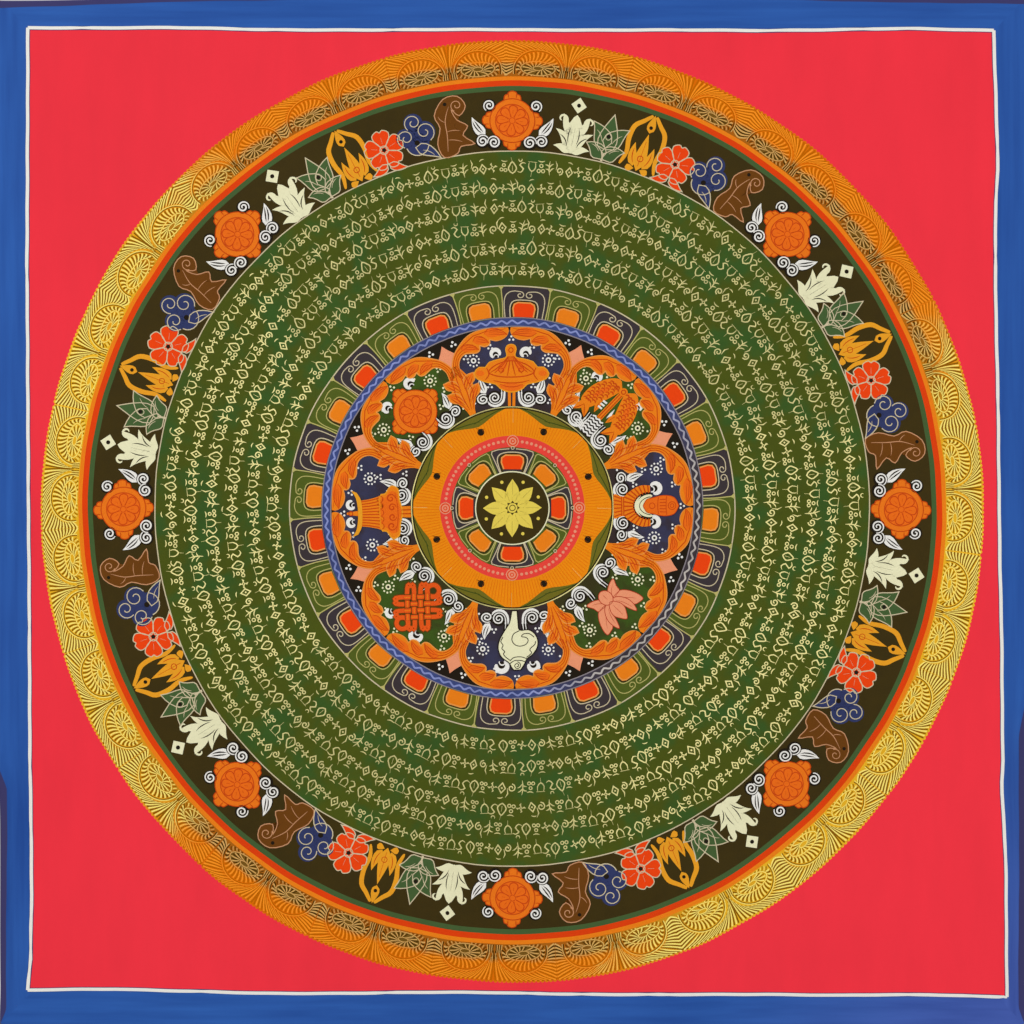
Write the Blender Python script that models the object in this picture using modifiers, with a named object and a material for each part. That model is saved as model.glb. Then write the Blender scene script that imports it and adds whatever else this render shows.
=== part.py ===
"""Painted canvas of a scroll painting: one cut length of primed cotton that hangs by its top edge.

It hangs in the XZ plane with its painted side towards -Y. The origin is the middle of the top edge.
The cloth is modelled as it hangs: an uneven cut outline, a shallow belly towards the viewer, the
waves that rolling leaves across it, soft flutes near the foot, top corners that nod forwards and
lower side margins that curl back. Run it with blender --background --python part.py.
"""
from math import cos, pi, sin

import bpy

# Driving dimensions, in metres
CLOTH_WIDTH = 0.620
CLOTH_HEIGHT = 0.620
CLOTH_THICKNESS = 0.001

# How the sheet hangs: how far each shape moves it out of its plane, in metres
BELLY = 0.0040
ROLL_WAVE = 0.0012
FLUTE = 0.0026
CORNER_NOD = 0.0060
CURL_WIDTH = 0.0150
CURL_DEPTH = 0.0075

ROLL_WAVES_DOWN = 4.2
FLUTES_ACROSS = 2.6

# The grid: cells each way, and how strongly its columns crowd towards the two curled margins
CELLS = 40
CROWDING = 0.7

CANVAS_COLOUR = (0.78, 0.03, 0.05, 1.0)
CANVAS_ROUGHNESS = 0.62

# How far the cut edge lies inside the plain square, in metres: (share of the way along, inset)
TOP_CUT = ((0.00, 0.0042), (0.20, 0.0014), (0.50, 0.0000), (0.86, 0.0010), (1.00, 0.0028))
FOOT_CUT = ((0.00, 0.0006), (0.30, 0.0012), (0.62, 0.0002), (1.00, 0.0016))
LEFT_CUT = ((0.00, 0.0010), (0.35, 0.0002), (0.72, 0.0006), (1.00, 0.0014))
RIGHT_CUT = ((0.00, 0.0008), (0.28, 0.0014), (0.66, 0.0002), (1.00, 0.0008))

# Where each lower margin starts to curl and is fully curled, as a share of the way down, and the
# share of the height over which both flatten out again above the foot
LEFT_CURL = (0.73, 0.80)
RIGHT_CURL = (0.66, 0.76)
FOOT_RELEASE = 0.04


def eased(value):
    """A share from 0 to 1 with a soft start and end, held at 0 and 1 outside that range."""
    share = min(max(value, 0.0), 1.0)
    return share * share * (3.0 - 2.0 * share)


def along(table, share):
    """The second column of a table at this share of its first, eased from row to row."""
    for (start, low), (end, high) in zip(table, table[1:]):
        if share <= end:
            return low + (high - low) * eased((share - start) / (end - start))
    return table[-1][1]


def outlined(across, down):
    """The place in the hanging plane of a point given as shares of the width and the height."""
    left = -CLOTH_WIDTH / 2 + along(LEFT_CUT, down)
    right = CLOTH_WIDTH / 2 - along(RIGHT_CUT, down)
    top = -along(TOP_CUT, across)
    foot = -CLOTH_HEIGHT + along(FOOT_CUT, across)
    return left + (right - left) * across, top + (foot - top) * down


def curl(x, down):
    """How far a lower side margin has curled back at this place."""
    start, end = LEFT_CURL if x < 0 else RIGHT_CURL
    into_margin = (abs(x) - (CLOTH_WIDTH / 2 - CURL_WIDTH)) / CURL_WIDTH
    bend = max(into_margin, 0.0) ** 2
    held = eased((down - start) / (end - start)) * (0.4 + 0.6 * eased((1 - down) / FOOT_RELEASE))
    return CURL_DEPTH * bend * held


def hang(x, z):
    """How far the painted face lies behind the hanging plane, from its place in that plane."""
    side = 2 * x / CLOTH_WIDTH
    down = min(max(-z / CLOTH_HEIGHT, 0.0), 1.0)
    belly = -BELLY * sin(pi * down) * (1 - side * side)
    roll = ROLL_WAVE * sin(2 * pi * (ROLL_WAVES_DOWN * down + 0.15 * side)) * (0.3 + 0.7 * down)
    flute = FLUTE * down * down * cos(pi * (FLUTES_ACROSS * side + 0.3))
    nod = -CORNER_NOD * abs(side) ** 3 * (1 - down) ** 3
    return belly + roll + flute + nod + curl(x, down) - CLOTH_THICKNESS / 2


def crowded(share):
    """A share of the width, moved so that columns lie closer together at both side margins."""
    return (1 - CROWDING) * share + CROWDING * (0.5 - 0.5 * cos(pi * share))


def canvas_material():
    material = bpy.data.materials.new("painted_cotton")
    material.use_nodes = True
    shader = material.node_tree.nodes["Principled BSDF"]
    shader.inputs["Base Color"].default_value = CANVAS_COLOUR
    shader.inputs["Roughness"].default_value = CANVAS_ROUGHNESS
    shader.inputs["Metallic"].default_value = 0.0
    return material


def painted_canvas(collection):
    """A grid in the hanging plane, cut to its outline, hung, and given its thickness to the back."""
    bpy.ops.mesh.primitive_grid_add(
        x_subdivisions=CELLS, y_subdivisions=CELLS, size=1.0, rotation=(pi / 2, 0, 0)
    )
    canvas = bpy.context.object
    canvas.name = "painted_canvas"
    canvas.data.name = "painted_canvas"
    bpy.ops.object.transform_apply(location=False, rotation=True, scale=False)
    for vertex in canvas.data.vertices:
        across = crowded(vertex.co.x + 0.5)
        x, z = outlined(across, 0.5 - vertex.co.z)
        vertex.co = (x, hang(x, z), z)
    cloth = canvas.modifiers.new("thickness", "SOLIDIFY")
    cloth.thickness = CLOTH_THICKNESS
    cloth.offset = -1.0
    canvas.data.materials.append(canvas_material())
    canvas.data.shade_smooth()
    for owner in canvas.users_collection:
        owner.objects.unlink(canvas)
    collection.objects.link(canvas)


def main():
    for item in list(bpy.data.objects):
        bpy.data.objects.remove(item)
    collection = bpy.data.collections.new("scroll_painting")
    bpy.context.scene.collection.children.link(collection)
    painted_canvas(collection)


main()
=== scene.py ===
"""Painted mandala canvas, a scroll painting: the finish of the cloth and every coat of its paint.

The canvas hangs in the XZ plane with its painted side towards -Y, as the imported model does. All
painting is drawn flat, in millimetres from the middle of the canvas, as brush lines and filled
patches. Each coat is then given its thickness and laid on the hanging cloth.
"""
import random
from math import cos, pi, radians, sin, sqrt

import bpy
import numpy as np
from bpy.props import FloatProperty, FloatVectorProperty, PointerProperty
from bpy.types import Operator, Panel, PropertyGroup
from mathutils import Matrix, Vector


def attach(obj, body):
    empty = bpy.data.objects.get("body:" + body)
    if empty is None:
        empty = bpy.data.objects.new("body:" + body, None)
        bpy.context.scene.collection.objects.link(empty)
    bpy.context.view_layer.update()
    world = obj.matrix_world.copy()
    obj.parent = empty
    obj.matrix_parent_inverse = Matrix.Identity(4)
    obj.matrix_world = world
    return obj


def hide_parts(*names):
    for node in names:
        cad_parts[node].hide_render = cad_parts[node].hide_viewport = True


bl_info = {
    "name": "Painted Mandala Canvas",
    "version": (1, 0, 0),
    "blender": (4, 5, 0),
    "location": "View3D > Sidebar > Canvas",
    "description": "Lays the cloth and the paint of a hanging mandala canvas",
    "category": "Object",
}

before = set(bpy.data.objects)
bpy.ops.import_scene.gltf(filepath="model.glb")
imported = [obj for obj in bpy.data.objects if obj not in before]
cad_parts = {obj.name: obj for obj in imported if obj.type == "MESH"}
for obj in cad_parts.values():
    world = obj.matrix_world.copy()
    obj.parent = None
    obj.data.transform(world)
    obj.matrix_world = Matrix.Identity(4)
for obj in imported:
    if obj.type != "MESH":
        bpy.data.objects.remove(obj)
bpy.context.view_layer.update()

MM = 0.001
CLOTH_NODE = "painted_canvas"

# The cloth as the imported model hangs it: the same sizes, in metres, and the same shares
CLOTH_WIDTH = 0.620
CLOTH_HEIGHT = 0.620
CLOTH_THICKNESS = 0.001
BELLY = 0.0040
ROLL_WAVE = 0.0012
FLUTE = 0.0026
CORNER_NOD = 0.0060
CURL_WIDTH = 0.0150
CURL_DEPTH = 0.0075
ROLL_WAVES_DOWN = 4.2
FLUTES_ACROSS = 2.6
CROWDING = 0.7
TOP_CUT = ((0.00, 0.0042), (0.20, 0.0014), (0.50, 0.0000), (0.86, 0.0010), (1.00, 0.0028))
FOOT_CUT = ((0.00, 0.0006), (0.30, 0.0012), (0.62, 0.0002), (1.00, 0.0016))
LEFT_CUT = ((0.00, 0.0010), (0.35, 0.0002), (0.72, 0.0006), (1.00, 0.0014))
RIGHT_CUT = ((0.00, 0.0008), (0.28, 0.0014), (0.66, 0.0002), (1.00, 0.0008))
LEFT_CURL = (0.73, 0.80)
RIGHT_CURL = (0.66, 0.76)
FOOT_RELEASE = 0.04
CLOTH_CELLS = 200

# Coats of paint, in millimetres: how much higher each lies than the last, how far its foot sinks
# into that one, and how far a brush line's ridge stands out of its coat
LIFT = 0.08
SINK = 0.03
RIDGE = 0.03

# Half of a brush line's foot, as a share of the width that it shows, and the thinnest half
HALF_FOOT = 0.56
THINNEST = 0.03

# Points of flat work nearer to each other than this are one, in millimetres
WELD = 0.0003

# Faces that meet at less than this angle are shaded as one surface
SOFT_EDGE = radians(50)

# The power that turns a colour as the eye sees it into a linear one
EYE_GAMMA = 2.2

# Roughness of matt mineral paint, and the bare border of a piece's map as a share of its side
MATT = 0.62
MAP_BORDER = 0.004


def ring_radius(name, description, metres):
    """The property of a ring's radius, from the middle of the mandala."""
    return FloatProperty(name=name, description=description, default=metres, unit="LENGTH")


class RingSizes(PropertyGroup):
    """Radii of the painted rings."""

    rim_outer: ring_radius("Gold rim", "Outer edge of the gold rim", 0.2832)
    rim_inner: ring_radius("Rim foot", "Inner edge of the gold rim", 0.2592)
    orange_inner: ring_radius("Orange ring", "Inner edge of the orange ring", 0.2547)
    dark_outer: ring_radius("Dark band", "Outer edge of the dark band", 0.2517)
    field_outer: ring_radius("Green field", "Outer edge of the green field", 0.2145)
    petal_outer: ring_radius("Petal ring", "Outer edge of the ring of petals", 0.1333)
    blue_outer: ring_radius("Blue ring", "Outer edge of the blue ring", 0.1143)
    cells_outer: ring_radius("Emblem ring", "Outer edge of the eight emblems", 0.1087)
    disc_outer: ring_radius("Centre", "Edge of the disc in the centre", 0.0605)


def radii(*names):
    """Radii of painted rings in millimetres, by their names in RingSizes."""
    return [getattr(bpy.context.scene.canvas_rings, name) / MM for name in names]


def seen(red, green, blue):
    """A linear colour from the 8-bit values that the eye reads off the paint."""
    return [(channel / 255) ** EYE_GAMMA for channel in (red, green, blue)]


def paint_colour(name, description, red, green, blue):
    """The property of one of the painter's colours."""
    return FloatVectorProperty(name=name, description=description, subtype="COLOR", size=3,
                               min=0.0, max=1.0, default=seen(red, green, blue))


class PaintColours(PropertyGroup):
    """The painter's colours."""

    ground: paint_colour("Ground", "Rose red around the mandala", 248, 53, 67)
    margin: paint_colour("Margin", "Blue of the border", 44, 88, 168)
    # Dark purple-grey of the strip along the cut edge, also of the dark line under the white line
    edge_strip: paint_colour("Raw edge", "Thin wash on the cut edge", 62, 60, 104)
    chalk: paint_colour("White", "White of lines and clouds", 255, 250, 232)
    cream: paint_colour("Cream", "Cream of thin outlines", 246, 238, 188)
    orange: paint_colour("Orange", "Orange of leaves and wheels", 252, 126, 24)
    vermilion: paint_colour("Vermilion", "Red orange of rings and lines", 220, 64, 6)
    amber: paint_colour("Amber", "Yellow orange of highlights", 246, 156, 38)
    green: paint_colour("Green", "Green of the field", 73, 82, 22)
    cool_green: paint_colour("Cool green", "Bluer green in patches of the field", 57, 86, 36)
    cell_slate: paint_colour("Cell slate", "Blue of four of the cells", 56, 56, 80)
    shadow: paint_colour("Cell foot", "Brown dark at the foot of the cells", 56, 42, 26)
    brick: paint_colour("Brick", "Red orange of the endless knot", 232, 86, 26)
    ring_green: paint_colour("Ring green", "Greyed green of a thin ring and the sprigs", 68, 92, 52)
    night: paint_colour("Night", "Brown black of the dark band", 60, 49, 16)
    black: paint_colour("Black", "Black of outlines", 34, 27, 16)
    slate: paint_colour("Slate", "Grey brown of every second petal", 60, 53, 56)
    azure: paint_colour("Azure", "Blue of the ring", 66, 80, 138)
    sky: paint_colour("Sky", "Pale blue of the wave", 146, 158, 220)
    wheel: paint_colour("Wheel", "Orange of the wheels", 250, 116, 26)
    salmon: paint_colour("Salmon", "Pink of the lotus and the forks", 252, 148, 110)
    rose: paint_colour("Rose", "Pink of the inner ring", 240, 68, 58)
    scarlet: paint_colour("Scarlet", "Red of tongues and of one band ornament", 255, 68, 10)
    brown: paint_colour("Brown", "Brown of a band ornament and the knot", 104, 62, 16)
    olive: paint_colour("Olive", "Olive between the centre's points", 108, 102, 32)
    gold: paint_colour("Gold", "Fine gold lines", 216, 206, 138)
    # Bright gold is the painted reflection on the rim's two gleaming stretches; dull gold is the rim's gold
    # where no reflection is painted
    bright_gold: paint_colour("Bright gold", "Gold where it is burnished", 240, 184, 44)
    dull_gold: paint_colour("Dull gold", "Gold where it is thin", 222, 108, 0)
    bright: paint_colour("Rosette gold", "Gold of the rosette in the centre", 228, 202, 84)
    ember: paint_colour("Ember", "Deeper orange of wheels and knots", 250, 106, 24)
    vermilion_deep: paint_colour("Deep vermilion", "Lines on yellow orange", 196, 70, 14)
    leaf_green: paint_colour("Leaf green", "Green of every second petal", 80, 92, 32)
    cell_green: paint_colour("Cell green", "Green of four of the cells", 60, 83, 28)
    azure_deep: paint_colour("Deep azure", "Blue of one band ornament", 50, 58, 98)
    pale_gold: paint_colour("Pale gold", "Pale outlines of petals", 204, 190, 156)
    pale_blue: paint_colour("Pale blue", "Edges of the blue ring", 138, 130, 136)
    vine: paint_colour("Vine", "Olive gold outlines of the green petals", 182, 174, 104)
    crease: paint_colour("Crease", "Thin dark lines of the lotus", 178, 66, 44)
    tan: paint_colour("Tan", "Outline of the brown ornament", 196, 142, 104)
    disc_orange: paint_colour("Disc orange", "Orange of the star", 254, 136, 12)
    disc_line: paint_colour("Disc lines", "Fine hatching of the star", 230, 108, 4)
    olive_dark: paint_colour("Dark olive", "Brush lines in the olive", 62, 74, 22)
    blush: paint_colour("Blush", "Dots on the pink ring", 242, 142, 112)
    apricot: paint_colour("Apricot", "Pale edges of foliage and petals", 246, 150, 74)
    cotton: paint_colour("Cotton", "Primed cotton at the back", 214, 202, 178)


# ---------------------------------------------------------------- the hanging cloth


def eased(value):
    """A share from 0 to 1 with a soft start and end, held at 0 and 1 outside that range."""
    share = np.clip(value, 0.0, 1.0)
    return share * share * (3.0 - 2.0 * share)


def along(table, share):
    """The second column of a table at this share of its first, eased from row to row."""
    for (start, low), (end, high) in zip(table, table[1:]):
        if share <= end:
            return low + (high - low) * float(eased((share - start) / (end - start)))
    return table[-1][1]


def outlined(across, down):
    """The place in the hanging plane of a point given as shares of the width and the height."""
    left = -CLOTH_WIDTH / 2 + along(LEFT_CUT, down)
    right = CLOTH_WIDTH / 2 - along(RIGHT_CUT, down)
    top = -along(TOP_CUT, across)
    foot = -CLOTH_HEIGHT + along(FOOT_CUT, across)
    return left + (right - left) * across, top + (foot - top) * down


def curl(x, down):
    """How far the lower side margins have curled back at these places."""
    start = np.where(x < 0, LEFT_CURL[0], RIGHT_CURL[0])
    end = np.where(x < 0, LEFT_CURL[1], RIGHT_CURL[1])
    into_margin = (np.abs(x) - (CLOTH_WIDTH / 2 - CURL_WIDTH)) / CURL_WIDTH
    bend = np.maximum(into_margin, 0.0) ** 2
    held = eased((down - start) / (end - start)) * (0.4 + 0.6 * eased((1 - down) / FOOT_RELEASE))
    return CURL_DEPTH * bend * held


def hang(x, z):
    """How far the painted face lies behind the hanging plane, from places in that plane."""
    side = 2 * x / CLOTH_WIDTH
    down = np.clip(-z / CLOTH_HEIGHT, 0.0, 1.0)
    belly = -BELLY * np.sin(pi * down) * (1 - side * side)
    roll = ROLL_WAVE * np.sin(2 * pi * (ROLL_WAVES_DOWN * down + 0.15 * side)) * (0.3 + 0.7 * down)
    flute = FLUTE * down * down * np.cos(pi * (FLUTES_ACROSS * side + 0.3))
    nod = -CORNER_NOD * np.abs(side) ** 3 * (1 - down) ** 3
    return belly + roll + flute + nod + curl(x, down) - CLOTH_THICKNESS / 2


def crowded(share):
    """A share of the width, moved so that columns lie closer together at both side margins."""
    return (1 - CROWDING) * share + CROWDING * (0.5 - 0.5 * cos(pi * share))


# ---------------------------------------------------------------- working with objects


def select_only(thing):
    """Makes this the one selected and active object."""
    bpy.ops.object.select_all(action="DESELECT")
    thing.select_set(True)
    bpy.context.view_layer.objects.active = thing


def edit(thing, *steps):
    """Runs edit-mode operators, each given as (operator, settings), on the whole of a mesh."""
    select_only(thing)
    bpy.ops.object.mode_set(mode="EDIT")
    bpy.ops.mesh.select_mode(type="VERT")
    bpy.ops.mesh.select_all(action="SELECT")
    for operator, settings in steps:
        operator(**settings)
    bpy.ops.object.mode_set(mode="OBJECT")


def thicken(thing, thickness, **settings):
    """Gives a sheet its thickness away from its face with an applied Solidify modifier."""
    select_only(thing)
    modifier = thing.modifiers.new("thickness", "SOLIDIFY")
    modifier.thickness = thickness
    modifier.offset = -1.0
    for name, value in settings.items():
        setattr(modifier, name, value)
    bpy.ops.object.modifier_apply(modifier=modifier.name)


def corners(mesh):
    """The places of a mesh's vertices, as an array with a row for each."""
    places = np.empty(len(mesh.vertices) * 3)
    mesh.vertices.foreach_get("co", places)
    return places.reshape(-1, 3)


def reshape(thing, places):
    """Moves a mesh's vertices to these places."""
    thing.data.vertices.foreach_set("co", np.array(places).ravel())
    thing.data.update()


def new_grid(name, across, down):
    """A grid one unit wide and high, with this many cells each way, to be shaped afterwards."""
    bpy.ops.object.select_all(action="DESELECT")
    bpy.ops.mesh.primitive_grid_add(x_subdivisions=across, y_subdivisions=down, size=1.0)
    grid = bpy.context.object
    grid.name = grid.data.name = name
    return grid


def face(thing, axis, sign):
    """Turns a sheet over where its first face looks the other way along this axis."""
    if thing.data.polygons[0].normal[axis] * sign < 0:
        edit(thing, (bpy.ops.mesh.flip_normals, {}))


def plan_map(mesh):
    """Lays the painted side flat on a UV map, as wide and high as the mesh itself."""
    places = corners(mesh)[:, (0, 2)]
    low, high = places.min(0), places.max(0)
    index = np.empty(len(mesh.loops), np.int32)
    mesh.loops.foreach_get("vertex_index", index)
    while mesh.uv_layers:
        mesh.uv_layers.remove(mesh.uv_layers[0])
    layer = mesh.uv_layers.new(name="OFBake")
    share = (places - low) / np.maximum(high - low, 1e-6)
    flat = MAP_BORDER + (1 - 2 * MAP_BORDER) * share
    layer.uv.foreach_set("vector", flat[index].astype(np.float32).ravel())


def settle(thing, material=None):
    """The last steps of every piece: its shading, material, map and the body it moves with."""
    select_only(thing)
    bpy.ops.object.shade_smooth_by_angle(angle=SOFT_EDGE)
    if material:
        thing.data.materials.clear()
        thing.data.materials.append(material)
    plan_map(thing.data)
    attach(thing, "root")


# ---------------------------------------------------------------- mixing materials


class Shade:
    """A number or vector in a material's nodes. Python's operators on it add Math nodes."""

    def __init__(self, recipe, socket):
        self.recipe, self.socket = recipe, socket

    def math(self, operation, *others, clamp=False):
        """The result of a Math node on this number and others."""
        return self.recipe.number(operation, self, *others, clamp=clamp)

    def __add__(self, other):
        return self.math("ADD", other)

    def __sub__(self, other):
        return self.math("SUBTRACT", other)

    def __rsub__(self, other):
        return self.recipe.number("SUBTRACT", other, self)

    def __mul__(self, other):
        return self.math("MULTIPLY", other)

    def __truediv__(self, other):
        return self.math("DIVIDE", other)

    __radd__ = __add__
    __rmul__ = __mul__

    def held(self, more=0.0):
        """This number and some more, held between 0 and 1."""
        return self.math("ADD", more, clamp=True)

    def between(self, low, high):
        """0 below low, 1 above high, and a soft step from one to the other."""
        node = self.recipe.node("ShaderNodeMapRange", {"interpolation_type": "SMOOTHSTEP"},
                                self, low, high, 0.0, 1.0)
        return Shade(self.recipe, node.outputs[0])


class Recipe:
    """A material being mixed: its nodes, its Principled shader and one way to add a node."""

    def __init__(self, name):
        self.material = bpy.data.materials.new(name)
        self.material.use_nodes = True
        self.tree = self.material.node_tree
        self.shader = self.tree.nodes["Principled BSDF"]
        self.place = self.node("ShaderNodeTexCoord").outputs["Object"]

    def node(self, kind, settings=None, *inputs, **named):
        """Adds a node, sets its settings, then fills its sockets in order or by name."""
        node = self.tree.nodes.new(kind)
        for name, value in (settings or {}).items():
            setattr(node, name, value)
        for key, value in list(enumerate(inputs)) + list(named.items()):
            self.fill(node.inputs[key], value)
        return node

    def fill(self, socket, value):
        """Links a Shade or an output to a socket, or sets a plain value on it."""
        value = value.socket if isinstance(value, Shade) else value
        if isinstance(value, bpy.types.NodeSocket):
            self.tree.links.new(value, socket)
        else:
            socket.default_value = value

    def number(self, operation, *values, clamp=False):
        """The result of a Math node on these values."""
        node = self.node("ShaderNodeMath", {"operation": operation, "use_clamp": clamp}, *values)
        return Shade(self, node.outputs[0])

    def plan(self):
        """Metres right of and above the middle of the canvas."""
        x, _, z = (Shade(self, output)
                   for output in self.node("ShaderNodeSeparateXYZ", None, self.place).outputs)
        return x, z + CLOTH_HEIGHT / 2

    def noise(self, scale, detail=2.0, stretch=(1, 1, 1)):
        """Soft noise from 0 to 1, with its features drawn out along the axes under 1."""
        spread = self.node("ShaderNodeVectorMath", {"operation": "MULTIPLY"}, self.place, stretch)
        node = self.node("ShaderNodeTexNoise", None, Vector=spread.outputs[0], Scale=scale,
                         Detail=detail)
        return Shade(self, node.outputs["Fac"])

    def mix(self, share, first, second, blend="MIX"):
        """A colour between two others."""
        node = self.node("ShaderNodeMix", {"data_type": "RGBA", "blend_type": blend})
        for socket, value in zip((node.inputs[0], node.inputs[6], node.inputs[7]),
                                 (share, first, second)):
            self.fill(socket, value)
        return node.outputs[2]

    def tones(self, share, colour, dark, light):
        """A colour property between a darker and a lighter tone of it."""
        return self.mix(share, rgba(colour, dark), rgba(colour, light))

    def finish(self, colour, roughness, metallic=0.0, height=None, depth=0.0002, specular=0.10):
        """Wires the shader's varying inputs and returns the material."""
        self.fill(self.shader.inputs["Base Color"], colour)
        self.fill(self.shader.inputs["Roughness"], roughness)
        self.fill(self.shader.inputs["Metallic"], metallic)
        self.shader.inputs["Specular IOR Level"].default_value = specular
        if height is not None:
            bump = self.node("ShaderNodeBump", None, Strength=0.5, Distance=depth, Height=height)
            self.fill(self.shader.inputs["Normal"], bump.outputs["Normal"])
        return self.material


def rgba(colour, gain=1.0):
    """A colour property as a shader's colour, lighter or darker by a gain."""
    return (*(min(channel * gain, 1.0) for channel in colour), 1.0)


def mineral(name, colour, drift=0.10, other=None):
    """Matt mineral paint: tone that drifts over the cloth, brush streaks and a fine grain.

    other is a second hue that shows in patches."""
    recipe = Recipe(name)
    tone = recipe.noise(14.0, 3.0)
    brush = recipe.noise(160.0, 3.0)
    grain = recipe.noise(1500.0, 2.0)
    change = (tone - 0.5) * (2.4 * drift) + (brush - 0.5) * (2.0 * drift) + (grain - 0.5) * drift
    share = change.held(0.5)
    tint = recipe.tones(share, colour, 0.66, 1.34)
    if other is not None:
        patches = recipe.noise(46.0, 3.0).between(0.44, 0.66)
        tint = recipe.mix(patches, tint, recipe.tones(share, other, 0.66, 1.34))
    return recipe.finish(tint, (brush - 0.5) * 0.16 + MATT, 0.0, grain * 0.5 + brush, 0.00012)


# Stretches of the rings: degrees clockwise from the top, and half the stretch. On two the gold rim
# carries a painted reflection that makes it gleam, and on one the blue ring is greyed by a painted sheen
GLEAMS = ((118.0, 46.0), (272.0, 40.0))
SHEEN_STRETCH = ((113.0, 52.0),)


def mandala_place(recipe):
    """Metres right of and above the middle of the canvas, and the distance from there."""
    x, up = recipe.plan()
    return x, up, (x * x + up * up).math("SQRT") + 1e-6


def stretch_mask(recipe, stretches, ragged=0.22):
    """1 on stretches round the mandala and 0 elsewhere, with soft ragged ends."""
    x, up, reach = mandala_place(recipe)
    ripple = (recipe.noise(22.0, 2.0) - 0.5) * ragged
    whole = None
    for middle, half in stretches:
        towards = (x * sin(radians(middle)) + up * cos(radians(middle))) / reach + ripple
        part = towards.between(cos(radians(half + 14)), cos(radians(half - 20)))
        whole = part if whole is None else whole.math("MAXIMUM", part)
    return whole


def line_gold(name, colour):
    """Fine gold lines: brighter where the rim gleams, a painted reflection, with small worn and bright
    places.
    """
    recipe = Recipe(name)
    wear = recipe.noise(240.0, 3.0)
    # Painted reflection: the lines are lighter on the rim's gleaming stretches
    gleam = stretch_mask(recipe, GLEAMS, 0.5)
    share = ((wear - 0.5) * 1.2 + gleam * 0.6).held(0.28)
    tint = recipe.tones(share, colour, 0.74, 1.36)
    return recipe.finish(tint, 0.52 - (wear - 0.5) * 0.2, 0.20, wear, 0.0001, 0.4)


# ---------------------------------------------------------------- drawing flat


def compass_rise(radius):
    """How far above the canvas's middle the painter's compass stood for a ring of this radius."""
    share = float(np.clip((radius - 110.0) / 173.0, 0.0, 1.0))
    return 2.4 - 2.2 * share ** 3


def around(radius, degrees):
    """A place on the canvas by radius and degrees clockwise from the top."""
    angle = radians(degrees)
    return radius * sin(angle) + 0.2, radius * cos(angle) + compass_rise(radius)


def turned(points, degrees, size=1.0, cx=0.0, cy=0.0):
    """Points turned clockwise round the origin, scaled, and moved to a centre."""
    c, s = cos(radians(degrees)), sin(radians(degrees))
    return [(cx + size * (x * c + y * s), cy + size * (y * c - x * s)) for x, y in points]


def sided(points, side=-1):
    """Points mirrored from right to left, or as they are where side is 1."""
    return [(side * x, y) for x, y in points]


def paired(half):
    """A closed outline from its right half, whose first and last points lie on the axis."""
    return half + sided(half[-2:0:-1])


def arched(left, top=()):
    """An outline from its left half and the points between it and the right half."""
    return left + list(top) + sided(left[::-1])


def stood(radius, degrees, size=1.0, turn=0.0, flip=1.0):
    """Places a motif upright on a ring: its own up points outwards, turned clockwise by turn."""
    x0, y0 = around(radius, degrees)
    return lambda points: turned(sided(points, flip), degrees + turn, size, x0, y0)


def bent(radius, degrees, flip=1.0):
    """Places a motif round a ring: its width is bent along the ring, clockwise."""
    return lambda points: [around(radius + y, degrees + x / radius * 180 / pi)
                           for x, y in sided(points, flip)]


def halves(at):
    """A motif's place and its mirror image, so that one drawing makes both sides."""
    return [lambda points, side=side: at(sided(points, side)) for side in (-1, 1)]


def arc(cx, cy, radius, start, end, tall=1.0, steps=None):
    """Points along an arc, in degrees clockwise from up; tall stretches it upwards."""
    steps = steps or max(3, int(abs(end - start) / 18))
    return [(cx + radius * sin(radians(start + (end - start) * i / steps)),
             cy + radius * tall * cos(radians(start + (end - start) * i / steps)))
            for i in range(steps + 1)]


def oval(cx, cy, radius, tall=1.0, count=16):
    """A closed round outline."""
    return arc(cx, cy, radius, 0, 360 * (count - 1) / count, tall, count - 1)


def spiral(cx, cy, outer, inner, start, turns, steps=None):
    """Points along a spiral that winds inwards; negative turns wind anticlockwise."""
    steps = steps or int(abs(turns) * 16) + 2
    points = []
    for i in range(steps + 1):
        share = i / steps
        radius = outer + (inner - outer) * share
        angle = radians(start + 360 * turns * share)
        points.append((cx + radius * sin(angle), cy + radius * cos(angle)))
    return points


def smooth(knots, steps=4, closed=False):
    """A soft curve through a few points (Catmull-Rom)."""
    count = len(knots)
    if count < 3:
        return list(knots)
    pick = (lambda i: knots[i % count]) if closed else (lambda i: knots[min(max(i, 0), count - 1)])
    points = []
    for i in range(count if closed else count - 1):
        p0, p1, p2, p3 = (pick(i + k) for k in (-1, 0, 1, 2))
        for step in range(steps):
            t = step / steps
            weights = (-t + 2 * t * t - t ** 3, 2 - 5 * t * t + 3 * t ** 3,
                       t + 4 * t * t - 3 * t ** 3, -t * t + t ** 3)
            points.append(tuple(sum(w * p[axis] for w, p in zip(weights, (p0, p1, p2, p3))) / 2
                                for axis in (0, 1)))
    return points if closed else points + [knots[-1]]


def bow(start, end, sag, steps=5):
    """A stroke from one point to another that bows to its left by sag."""
    (x0, y0), (x1, y1) = start, end
    length = sqrt((x1 - x0) ** 2 + (y1 - y0) ** 2) or 1.0
    nx, ny = -(y1 - y0) / length, (x1 - x0) / length
    return [(x0 + (x1 - x0) * t + nx * 4 * sag * t * (1 - t),
             y0 + (y1 - y0) * t + ny * 4 * sag * t * (1 - t))
            for t in (i / steps for i in range(steps + 1))]


def on_path(table, share):
    """A point at a share of the way along a path with straight runs between its points."""
    runs = [sqrt((x1 - x0) ** 2 + (y1 - y0) ** 2) for (x0, y0), (x1, y1) in zip(table, table[1:])]
    left = share * sum(runs)
    for (start, end), run in zip(zip(table, table[1:]), runs):
        if left <= run or end is table[-1]:
            part = min(left / run, 1.0)
            return tuple(a + (b - a) * part for a, b in zip(start, end))
        left -= run


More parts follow.
